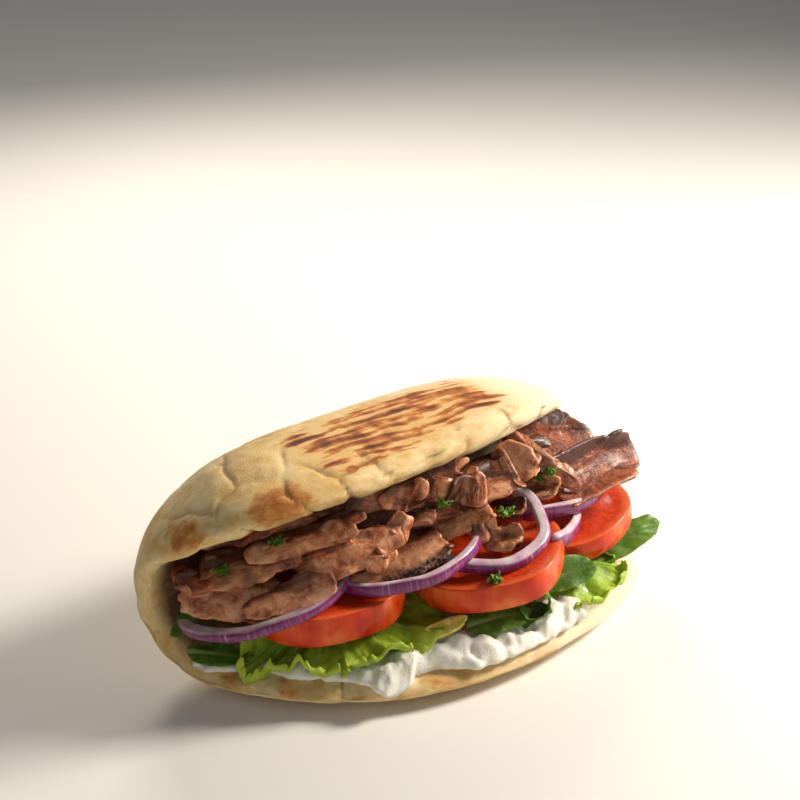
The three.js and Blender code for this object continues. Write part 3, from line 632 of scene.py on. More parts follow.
def red_onion():
    """Red onion, freshly sliced: a thin purple skin with pale veins running across the ring, over
    wet white flesh that turns pink near the skin. Juicy, so it has tight highlights."""
    onion = new_finish("red_onion")
    place = add(onion, "Attribute", attribute_name="ring").outputs["Vector"]
    purple = add(onion, "Attribute", attribute_name="purple").outputs["Fac"]
    veins = add(onion, "VectorMath", {0: place, 1: (0.75, 0.05, 0.1)}, operation="MULTIPLY")
    veins = add(onion, "TexNoise", {"Vector": veins, "Scale": 1.0, "Detail": 3.0, "Roughness": 0.6})
    skin = add(onion, "ValToRGB", {0: veins}, stops=[
        (0.3, "#641F52"), (0.48, "#82306C"), (0.62, "#9A4686"), (0.8, "#CFA0C2")])
    blush = add(onion, "TexNoise", {"Vector": place, "Scale": 1 / 6, "Detail": 2.0})
    flesh = add(onion, "ValToRGB", {0: blush}, stops=[(0.35, "#D9B4C6"), (0.6, "#EADCE0")])
    shade = add(onion, "Mix", {0: purple, 6: flesh, 7: skin}, data_type="RGBA")
    bump = add(onion, "Bump", {"Height": veins, "Strength": 0.25, "Distance": 0.0004})
    surface = add(onion, "BsdfPrincipled", {
        "Base Color": shade, "Normal": bump, "Roughness": 0.24, "IOR": 1.4,
        "Subsurface Weight": 0.35, "Subsurface Radius": (1.0, 0.6, 0.8), "Subsurface Scale": 0.0015,
        "Coat Weight": 0.4, "Coat Roughness": 0.1})
    add(onion, "OutputMaterial", {0: surface})
    return onion


onion_finish = red_onion()
for name, spec in ONIONS.items():
    ring = make_piece(name + "_sliced", *slice_onion(**spec), onion_finish)
    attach(ring, "root")
    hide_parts(name)


# ------------------------------------------------------------------ the salad leaves
# Two frilly leaves of green lettuce under the tomatoes, and five small dark rocket and spinach
# leaves tucked in beside them. Limp, thin and ribbed, with light passing through the edges.

LETTUCES = {
    "lettuce_left": dict(
        middle=(-50, 2, 23), frills=9, frill=2.2, roll=2.1, phase=0.4, edge=[
            (-84, 10, 22), (-87.5, 8, 18), (-90, 6, 13), (-89.5, 3.5, 9.8), (-85.5, 0.8, 10),
            (-81.5, -4, 14.5), (-77, -9.5, 17), (-74, -15.5, 15.5), (-67.5, -22, 15),
            (-62.5, -24.5, 17.5), (-54.5, -28, 18.5), (-45, -31.5, 19), (-36, -34.5, 19.5),
            (-25, -33, 20), (-18, -22, 21), (-30, 4, 20), (-54, 18, 20), (-76, 18, 21)]),
    "lettuce_right": dict(
        middle=(38, -36, 22.5), frills=6, frill=1.6, roll=1.8, phase=2.0, edge=[
            (16, -43, 20), (20, -51, 17.5), (28, -55.5, 16), (36, -57.3, 16), (47, -56.8, 16.5),
            (54.5, -55, 18.5), (57, -52, 20), (56, -43, 21), (52, -24, 21), (36, -12, 21), (16, -18, 21),
            (10, -34, 21)]),
}
LEAVES = {
    "leaf_long": [
        dict(at=(62, -39.5, 23.6), heading=-14, climb=3, lean=14, length=56, width=21, frill=0.9, frills=4,
             point=0.5),
        dict(at=(29.5, -46, 26), heading=-20, climb=6, lean=42, length=26, width=13, frill=0.5, frills=4,
             phase=2)],
    "leaf_rolled": [
        dict(at=(-7, -43.5, 21), heading=-23, climb=2, lean=34, length=26, width=12, frill=0.4, phase=1),
        dict(at=(7.6, -49.6, 17.4), heading=-134, climb=25, lean=8, length=15, width=28, curl=255,
             frill=0.5),
        dict(at=(9.2, -48, 16.6), heading=-44, lean=60, length=14, width=12, curl=-60, frill=0.3, phase=2)],
    "leaf_low": [
        dict(at=(-93, 15.5, 17), heading=-57, lean=24, length=26, width=10, frill=0.4, frills=5, point=0.8)],
    "leaf_end": [
        dict(at=(-98.5, 38, 26), heading=-75, lean=55, length=26, width=14, frill=0.6, frills=4)],
    "leaf_inner": [
        dict(at=(-84, 22, 33), heading=-30, lean=20, length=28, width=16, frill=0.6, frills=5)],
}
ROLL_STARTS = 0.84  # of the way out to a lettuce leaf's edge
LEAF_THICKNESS = 0.9
LETTUCE_RINGS, LETTUCE_SPOKES = 48, 280
LEAF_RINGS, LEAF_SPOKES = 26, 130
RIB_DEPTH, MIDRIB_DEPTH = 0.35, 0.7


def round_edge(points, turn):
    """A smooth closed line through the points, once round as turn goes from 0 to 2 pi."""
    points = np.array(points, dtype=float)
    along = turn / (2 * np.pi) * len(points)
    k = np.floor(along).astype(int)
    t = (along - k)[:, None]
    a, b, c, d = (points[(k + step) % len(points)] for step in (-1, 0, 1, 2))
    return b + 0.5 * t * (c - a + t * (2 * a - 5 * b + 4 * c - d + t * (3 * (b - c) + d - a)))


def grow_lettuce(middle, edge, frills, frill, roll, phase):
    """A frilly leaf's points and faces: a blade from its middle out to a margin that waves, and
    rolls over as it dries, more in some places than in others."""
    rings = 1 - (1 - np.linspace(0.04, 1, LETTUCE_RINGS)) ** 1.5
    marks = {}

    def face(r, turn, side):
        margin = round_edge(edge, turn)
        out = margin - middle
        level = out[:, 2]
        reach = np.hypot(out[:, 0], out[:, 1])
        away = out[:, :2] / reach[:, None]
        flat_r = np.minimum(r, ROLL_STARTS)
        rolled = np.clip((r - ROLL_STARTS) / (1 - ROLL_STARTS), 0, 1)
        round_leaf = np.stack([np.cos(turn), np.sin(turn), 0 * r], -1) * 30
        tight = roll * (1 + 0.5 * rumple(round_leaf, 9, phase + 3))
        bend = rolled * (2.2 + 1.0 * rumple(round_leaf, 7, phase + 4))
        over = np.where(rumple(round_leaf, 12, phase + 5) > -0.3, 1, -0.7)
        flat = reach * flat_r / ROLL_STARTS
        x, y = (middle[k] + away[:, k] * (flat - 1.2 + 1.5 * tight * np.sin(bend)) for k in (0, 1))
        here = np.stack([x, y, 0 * x], -1)
        growth = smooth((r - 0.35) / 0.65)
        wave = frill * growth * (np.sin(frills * turn + phase) + 1.1 * rumple(round_leaf, 6, phase)) / 1.4
        small = 0.4 * frill * r ** 6 * np.sin(3.1 * frills * turn + 3 * rumple(round_leaf, 5, phase + 1))
        blister = 0.6 * rumple(here, 5, phase + 2) + 0.35 * rumple(here, 2.5, phase + 6)
        ribs = RIB_DEPTH * np.exp(-((np.sin(5 * turn + phase) / 0.09) ** 2)) * smooth((0.85 - r) / 0.3)
        half = LEAF_THICKNESS / 2 * np.sqrt(np.maximum(0, 1 - r ** 10)) * (1 - 0.5 * r)
        z = middle[2] + level * smooth((r - 0.3) / 0.6) + tight * (1 - np.cos(bend)) * over
        z = z + wave + small + blister - ribs + side * half
        marks["leaf"] = np.stack([x, y, side * 3.0 + r * 8], -1)
        marks["rib"] = np.clip(ribs / RIB_DEPTH, 0, 1)
        # Lighter toward the margin: partly the leaf's own paler frill, partly painted light on the frills
        # and painted shade toward the middle.
        marks["frilled"] = smooth((r - 0.5) / 0.5)
        return np.stack([x, y, z], -1)

    points, faces, *_ = lens(face, rings, LETTUCE_SPOKES)
    return points, faces, marks


def bent(u, v, lift, length, width, bend, curl):
    """A flat sheet's point after curling it across its width and bending it along its length."""
    y, z = v, lift
    if abs(curl) > 1:
        radius = width / (curl * DEGREE)
        y, z = (radius - lift) * np.sin(v / radius), radius - (radius - lift) * np.cos(v / radius)
    if abs(bend) > 1:
        radius = length / (bend * DEGREE)
        u, z = (radius - z) * np.sin(u / radius), radius - (radius - z) * np.cos(u / radius)
    return np.stack([u, y, z], -1)


def grow_leaf(
        at, length, width, frill, heading=0, climb=0, lean=0, curl=0, frills=7, phase=0, point=0):
    """A leaf's points and faces, and where each point lies on the flat leaf."""
    rings = 1 - (1 - np.linspace(0.04, 1, LEAF_RINGS)) ** 1.25
    place = placed(at, heading, climb, lean)
    marks = {}

    def face(r, angle, side):
        cos, sin = np.cos(angle), np.sin(angle)
        round_leaf = np.stack([cos, sin, 0 * r], -1) * 30
        tip = 1 - point * smooth(cos) * 0.5 * np.abs(sin)
        lobe = 1 + 0.05 * np.sin(frills * angle + 2 * phase) + 0.03 * rumple(round_leaf, 3.5, phase)
        u = length / 2 * r * lobe * cos
        v = width / 2 * r * lobe * tip * sin
        flat = np.stack([u, v, 0 * u], -1)
        edge = r ** 3
        wave = frill * edge * np.sin(frills * angle + phase) + 0.8 * np.sin(u / 8 + phase) * r
        small = 0.5 * frill * r ** 6 * np.sin(2.7 * frills * angle + 2.0 * np.sin(3 * angle))
        blister = 0.4 * rumple(flat, 5, phase + 1) * min(1, frill)
        midrib = MIDRIB_DEPTH * np.exp(-(v / (0.035 * width + 0.4)) ** 2)
        midrib = midrib * smooth((0.9 * length / 2 - u) / length)
        side_ribs = 0.2 * np.sin((np.abs(v) * 0.9 - u) / 2.1) * smooth(np.abs(v) / 4) * min(1, frill)
        half = LEAF_THICKNESS / 2 * np.sqrt(np.maximum(0, 1 - r ** 10)) * (1 - 0.5 * r)
        lift = wave + small + blister + side_ribs - midrib + side * half
        marks["leaf"] = np.stack([u, v, side * 3.0 + r * 8], -1)
        marks["rib"] = np.clip(midrib / MIDRIB_DEPTH + 0.3 * smooth(side_ribs * 6), 0, 1)
        # Lighter toward the edge: partly the leaf's own paler edge, partly painted light.
        marks["frilled"] = 0.6 * edge
        return tucked_in(moved(bent(u, v, lift, length, width, 0, curl), place))

    points, faces, *_ = lens(face, rings, LEAF_SPOKES)
    return points, faces, marks


def fresh_leaf(name, dark, middling, light, rib):
    """Fresh salad leaf, washed: waxy and a little shiny, its blade lit through from behind, with
    paler ribs. The blade colour is uneven over about 6 mm."""
    blade = new_finish(name)
    place = add(blade, "Attribute", attribute_name="leaf").outputs["Vector"]
    ribs = add(blade, "Attribute", attribute_name="rib").outputs["Fac"]
    frilled = add(blade, "Attribute", attribute_name="frilled").outputs["Fac"]
    uneven = add(blade, "TexNoise", {"Vector": place, "Scale": 1 / 6, "Detail": 4.0, "Roughness": 0.6})
    # The blade is lighter toward its margin: partly its own colour, partly painted light on the frills and
    # painted shade nearer the middle.
    mixed = add(blade, "Math", {0: frilled, 1: 0.3, 2: uneven}, operation="MULTIPLY_ADD")
    tone = add(blade, "ValToRGB", {0: mixed}, stops=[(0.38, dark), (0.62, middling), (0.88, light)])
    shade = add(blade, "Mix", {0: ribs, 6: tone, 7: colour(rib)}, data_type="RGBA")
    cells = add(blade, "TexVoronoi", {"Vector": place, "Scale": 1 / 1.5})
    bump = add(blade, "Bump", {"Height": cells, "Strength": 0.35, "Distance": 0.0003})
    front = add(blade, "BsdfPrincipled", {
        "Base Color": shade, "Normal": bump, "Roughness": 0.45, "IOR": 1.42,
        "Specular IOR Level": 0.4})
    through = add(blade, "BsdfTranslucent", {0: shade, 1: bump})
    both = add(blade, "MixShader", {0: 0.35, 1: front, 2: through})
    add(blade, "OutputMaterial", {0: both})
    return blade


lettuce_finish = fresh_leaf("green_lettuce", "#6E9C20", "#AACA36", "#CCE052", "#DAE890")
rocket_finish = fresh_leaf("dark_rocket", "#44701C", "#66902C", "#8CAC48", "#A8BC70")
for name, spec in {**LETTUCES, **LEAVES}.items():
    lettuce = name in LETTUCES
    body = grow_lettuce(**spec) if lettuce else gather([grow_leaf(**part) for part in spec])
    leaf = make_piece(name + "_grown", *body, lettuce_finish if lettuce else rocket_finish)
    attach(leaf, "root")
    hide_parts(name)


# ------------------------------------------------------------------ the garlic sauce
# Strained yoghurt with garlic, spooned thick over the lower half of the bread. It stands in soft
# lobes at the rim and runs over it in one drip.

SAUCE_MIDDLE = (0, -12)
SAUCE_EDGE = [
    (-99, 30), (-101, 22), (-92, 10), (-84, 1), (-78, -9), (-71, -17), (-65, -24), (-61.5, -31),
    (-58.5, -36.5), (-54.5, -39.5), (-49.5, -39.8), (-45, -38), (-40, -40.5), (-33, -46), (-25, -51.5),
    (-14, -54), (-3, -56.5), (9, -57.5), (20, -58), (31, -57), (38, -53), (44, -50), (54, -45), (66, -38),
    (78, -18), (80, 0), (60, 8), (20, 8), (-30, 8), (-66, 16), (-88, 32),
]
SAUCE_FOOT, SAUCE_LEVEL, SAUCE_CEILING = 11.3, 14.6, 20.5
DRIP_AT, DRIP_WIDTH, DRIP_FALL = (-54, -41), 8, 4.5
PRESS_AT, PRESS_WIDTH, PRESS_DEPTH = (7.6, -49), 6.5, 5  # where the rolled leaf sinks in
DOLLOPS = 46
DOLLOP_RUN = (0.01, 0.72)  # of the way round the edge: where the dollops start, and how far they go
DOLLOP_BLEND = 1.1  # the higher it is, the sharper the valleys between them
MIDDLE_RINGS, RIM_RINGS, SAUCE_SPOKES = 8, 72, 460
SAUCE_UNDER_RINGS = (0.3, 0.6, 0.85, 0.95, 1)


def spread_sauce():
    """The sauce's points and faces: dollops side by side along the edge of a spread layer."""
    rings = np.concatenate([np.linspace(0.05, 0.5, MIDDLE_RINGS), np.linspace(0.51, 1, RIM_RINGS)])
    marks = {}
    dollops = []
    for k in range(DOLLOPS):
        turn = 2 * np.pi * (DOLLOP_RUN[0] + DOLLOP_RUN[1] * (k + 0.8 * scatter(k, 1)) / DOLLOPS)
        edge = round_edge(SAUCE_EDGE, np.array([turn]))[0]
        inwards = np.array(SAUCE_MIDDLE) - edge
        size = 3.6 + 4.2 * scatter(k, 2)
        centre = edge + inwards / np.hypot(*inwards) * (size * 0.7 + 6 * scatter(k, 3) ** 2)
        low = 2.5 * smooth((-56 - edge[0]) / 10)
        high = 1.6 * smooth((edge[0] + 10) / 20)
        dollops.append((*centre, 10.4 + 2.4 * scatter(k, 4) - low + high, size * (1 - 0.12 * low)))
        deeper = edge + inwards / np.hypot(*inwards) * (9 + 9 * scatter(k, 5))
        dollops.append((*deeper, 12 + 2 * scatter(k, 6) - 2.4 * low, 3.5 + 2.5 * scatter(k, 7) - low))

    def face(r, turn, side):
        edge = round_edge(SAUCE_EDGE, turn)
        round_sauce = np.stack([edge[:, 0], edge[:, 1], 0 * turn], -1)
        reach = r * (1 + 0.03 * rumple(round_sauce, 7, 1) + 0.02 * rumple(round_sauce, 3, 2))
        x, y = (SAUCE_MIDDLE[k] + reach * (edge[:, k] - SAUCE_MIDDLE[k]) for k in (0, 1))
        flat = np.stack([x, y, 0 * x], -1)
        heights = [np.full(len(x), SAUCE_LEVEL)]
        for centre_x, centre_y, centre_z, size in dollops:
            gap = (x - centre_x) ** 2 + (y - centre_y) ** 2
            dome = np.sqrt(np.maximum(0, size * size - gap))
            heights.append(centre_z + dome - 0.02 * np.maximum(0, gap - size * size))
        # The highest dollop counts at each point, blended softly into its neighbours.
        above = np.exp(DOLLOP_BLEND * (np.array(heights) - SAUCE_LEVEL)).sum(0)
        top = np.log(above) / DOLLOP_BLEND + SAUCE_LEVEL
        top = top + 0.7 * (1 - 2 * np.abs(rumple(flat, 5, 3)))
        top = top + 0.5 * rumple(flat, 2.8, 5) + 0.2 * rumple(flat, 1.3, 7)
        from_leaf = ((x - PRESS_AT[0]) ** 2 + (y - PRESS_AT[1]) ** 2) / PRESS_WIDTH ** 2
        top = np.minimum(top, SAUCE_CEILING) - PRESS_DEPTH * np.exp(-from_leaf)
        hang = np.exp(-((x - DRIP_AT[0]) ** 2 + (y - DRIP_AT[1]) ** 2) / DRIP_WIDTH ** 2) * DRIP_FALL
        under = SAUCE_FOOT - hang
        top = under + (top - 0.8 * hang - under) * np.maximum(0, 1 - r ** 14) ** 0.5
        z = np.where(side > 0, top, under)
        marks["dollop"] = np.stack([x, y, z], -1)
        return tucked_in(marks["dollop"])

    points, faces, *_ = lens(face, rings, SAUCE_SPOKES, np.array(SAUCE_UNDER_RINGS))
    return points, faces, marks


def strained_yoghurt():
    """Strained yoghurt, spooned: near white with a warm cast, soft and wet. Light spreads inside
    it, so its shadows stay pale and faintly green-grey."""
    sauce = new_finish("strained_yoghurt")
    place = add(sauce, "Attribute", attribute_name="dollop").outputs["Vector"]
    whey = add(sauce, "TexNoise", {"Vector": place, "Scale": 1 / 5, "Detail": 3.0})
    shade = add(sauce, "ValToRGB", {0: whey}, stops=[(0.35, "#E9E6D6"), (0.6, "#F7F5EC")])
    grain = add(sauce, "TexNoise", {"Vector": place, "Scale": 1 / 0.9, "Detail": 4.0, "Roughness": 0.6})
    bump = add(sauce, "Bump", {"Height": grain, "Strength": 0.5, "Distance": 0.0006})
    surface = add(sauce, "BsdfPrincipled", {
        "Base Color": shade, "Normal": bump, "Roughness": 0.45, "IOR": 1.4,
        "Subsurface Weight": 0.6, "Subsurface Radius": (1.0, 0.9, 0.7), "Subsurface Scale": 0.002})
    add(sauce, "OutputMaterial", {0: surface})
    return sauce


sauce_piece = make_piece("yoghurt_sauce", *spread_sauce(), strained_yoghurt())
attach(sauce_piece, "root")
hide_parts("garlic_sauce")


# ------------------------------------------------------------------ the carved meat
# Thin slices carved off a turning spit of stacked seasoned meat: pink-brown inside with long
# fibres, roasted dark and peppery along the outer edges, curled and folded as they fell.

SLICES = {
    "meat_slice_01": dict(
        at=(-88.3, 11.5, 43), heading=-44, climb=-10, lean=42, length=42, width=20, curl=-40, phase=0.3,
        rugged=0.8, tone=0.6),
    "meat_slice_02": dict(
        at=(-81.8, 10.9, 53), heading=-38, climb=11, lean=42, length=38, width=16, curl=-30, phase=1.4,
        rugged=0.7, tone=0.25, herbs=((0.5, 200),)),
    "meat_slice_03": dict(
        at=(-65.5, 0.8, 60), heading=-35, climb=11, lean=36, length=42, width=11, curl=-30, phase=2.2,
        rugged=0.4, tone=0.8, herbs=((0.4, 170),)),
    "meat_slice_04": dict(
        at=(-34, 2, 65), heading=-18, climb=7, lean=62, length=82, width=15, thickness=4, phase=3.1,
        roast=0.22, tone=1),
    "meat_slice_05": dict(
        at=(-53, -8.5, 53.5), heading=-29, climb=12, lean=32, length=44, width=16, curl=-30, phase=0.9,
        rugged=0.9, tone=1, herbs=((0.6, 150),)),
    "meat_slice_06": dict(
        at=(-31.6, -15.3, 58), heading=-8, climb=52, lean=47, length=12.5, width=10, thickness=9, blunt=2,
        phase=2, rugged=1.6, tone=1),
    "meat_slice_07": dict(
        at=(-42.5, -15.5, 49), heading=5, climb=58, lean=36, length=9.5, width=8, thickness=7, blunt=2,
        rugged=1.6, tone=1),
    "meat_slice_08": dict(
        at=(-32, -17, 46.5), heading=-22, climb=12, lean=26, length=40, width=18, curl=-20, phase=4.4,
        pepper=1, rugged=0.4, tone=0.35, herbs=((0.35, 170),)),
    "meat_slice_09": dict(
        at=(-14, -9, 67), heading=-12, climb=10, lean=62, length=34, width=14, phase=5.1, roast=0.5,
        tone=0.6),
    "meat_slice_10": dict(
        at=(2.6, -20.5, 62.5), heading=30, climb=40, lean=30, length=13, width=10, thickness=6, blunt=3,
        phase=1, rugged=1.5, tone=0.9),
    "meat_slice_11": dict(
        at=(11, -22, 62.5), heading=-30, climb=5, lean=50, length=23, width=13, curl=50, phase=1,
        rugged=0.6, tone=1),
    "meat_slice_12": dict(
        at=(-5, -20.5, 53.5), heading=-34, climb=22, lean=45, length=26, width=13, phase=2.5, rugged=0.9,
        tone=0.9, herbs=((0.7, 60),)),
    "meat_slice_13": dict(
        at=(27, -19.5, 66.5), heading=-53, climb=-18, lean=55, length=18, width=14, thickness=5, phase=3,
        roast=0.1, rugged=0.3, blunt=8, square=0.6, tone=0.9),
    "meat_slice_14": dict(
        at=(41, -20, 62), heading=-62, climb=-32, lean=70, length=40, width=9, bend=-50, phase=1, roast=0.5,
        thickness=4.5, rugged=0.8, tone=0.6, blunt=5),
    "meat_slice_15": dict(
        at=(65, -27, 51), heading=-5, lean=45, length=48, width=25, thickness=2.6, curl=105, bend=18,
        phase=0.7, roast=0.95, rugged=0.25, tone=0.3, square=0.5),
    "meat_slice_16": dict(
        at=(63, -6, 58), heading=-25, climb=-10, lean=40, length=42, width=26, curl=30, phase=2.9,
        roast=0.95, rugged=0.5, tone=0.3),
    "meat_slice_17": dict(
        at=(38, -24.5, 52), heading=-42, climb=5, lean=45, length=16, width=10, thickness=6.5, blunt=3,
        phase=5.5, rugged=1.4, tone=0.9, herbs=((0.5, 90),)),
    "meat_slice_18": dict(
        at=(8.6, -30.5, 43.5), heading=-44, lean=40, length=14, width=12, thickness=8, blunt=4, phase=1,
        rugged=2, tone=0.35),
    "meat_slice_19": dict(
        at=(78, 8, 48), heading=70, lean=-40, length=40, width=22, curl=30, phase=4, roast=0.2),
    "meat_slice_20": dict(
        at=(84, 14, 30), heading=62, lean=-62, length=34, width=20, phase=1.9, roast=0.2),
}


SLICE_RINGS, SLICE_SPOKES = 24, 140
TORN, RAGGED = 0.13, 0.08  # how deep the tears and the fraying cut into a slice's edge
SPICE_BAND = 0.45  # of the half width: where the peppered edge starts


def carve_slice(
        at, length, width, thickness=2.4, heading=0, climb=0, lean=0, bend=0, curl=0, phase=0,
        roast=0, pepper=0, herbs=(), rugged=1.0, tone=0.4, blunt=18, square=0.8, detail=1.0):
    """A slice's points, faces and marks, and the spots that its herbs lie at."""
    rings = 1 - (1 - np.linspace(0.05, 1, int(SLICE_RINGS * detail))) ** 1.7
    marks = {}
    place = placed(at, heading, climb, lean)
    seed = phase + length / 7 + at[0]
    size = rugged * min(1, (width + 3) / 17)

    def face(r, angle, side):
        here = np.stack([np.cos(angle) * length, np.sin(angle) * width, 0 * angle], -1) / 2
        uneven = 1 + 0.06 * np.sin(3 * angle + phase) + 0.03 * np.sin(5 * angle + 2.3 * phase)
        frayed = rumple(here, 2.8, seed + 1) + 0.7 * rumple(here, 1.5, seed + 8)
        torn = TORN * rumple(here, 7, seed) + RAGGED * frayed
        reach = (uneven + (0.3 + 0.7 * min(1, rugged)) * torn * smooth(r)) * r
        u = length / 2 * reach * signed_power(np.cos(angle), square)
        v = width / 2 * reach * signed_power(np.sin(angle), square)
        flat = np.stack([u, v, 0 * u], -1)
        wave = 1.2 * np.sin(u / 9 + phase) * np.cos(v / 11 + phase)
        folds = 1 - 2 * np.abs(rumple(flat * (0.7, 1.3, 1), 11, seed + 2))
        creases = 0.4 * rumple(flat, 5, seed + 3) + 0.9 * rumple(flat * (0.24, 1, 1), 2.6, seed + 7)
        crumple = size * (1.1 * folds + creases)
        pitted = 0.12 * size * rumple(flat, 1.1, seed + 12)
        curled = size * 3.2 * smooth((r - 0.5) / 0.5) * rumple(here, 8, seed + 9)
        fibres = 0.2 * rumple(flat * (0.14, 0.9, 1), 1, seed + 4)
        fibres = fibres + 0.12 * rumple(flat * (0.7, 0.9, 1), 1, seed + 5)
        fullness = 0.75 + 0.35 * rumple(flat, 9, seed + 10)
        half = thickness / 2 * fullness * np.sqrt(np.maximum(0, 1 - r ** blunt))
        lift = side * (half + fibres * np.sqrt(1 - r)) + wave + crumple * 0.8 + curled + pitted
        marks["grain"] = np.stack([u, v, side * (half + 4) + seed * 9], -1)
        crusted = smooth((rumple(here, 16, seed + 11) + 0.55) / 0.5)
        outer = smooth((r - 0.8 + 0.16 * rumple(here, 5, seed + 6)) / 0.2) * crusted
        marks["roasted"] = np.clip(outer * 0.75 + roast, 0, 1)
        # Painted highlight: a thin orange band along the top face's edge, broken in places.
        broken = smooth((rumple(here, 5, seed + 13) + 0.4) / 0.4)
        marks["margin"] = (side > 0) * smooth((r - 0.86) / 0.08) * broken
        # Painted shade: the underside of each slice is darkened toward its edge.
        marks["under"] = np.where(side > 0, 0, smooth((r - 0.2) / 0.4)) * smooth((1.002 - r) / 0.01)
        marks["peppered"] = pepper * smooth((-v / width * 2 - SPICE_BAND + 0.15 * rumple(flat, 3, 5)) / 0.25)
        # Painted shade: each slice is darkened in its folds and where the next slice lies over it.
        tucked = 0.9 * smooth(1.9 * v / width + 0.15 + 0.25 * rumple(flat, 6, seed + 14)) * (blunt > 10)
        marks["hollow"] = np.clip(0.5 - crumple / 3.2 / size, 0, 1) * min(1, 0.4 + 0.6 * rugged) + tucked
        marks["tone"] = np.full(len(r), tone)
        return moved(bent(u, v, lift, length, width, bend, curl), place)

    spots = [face(np.array([r]), np.array([turn * DEGREE]), np.array([1]))[0] for r, turn in herbs]
    points, faces, *_ = lens(face, rings, int(SLICE_SPOKES * detail))
    return points, faces, marks, spots


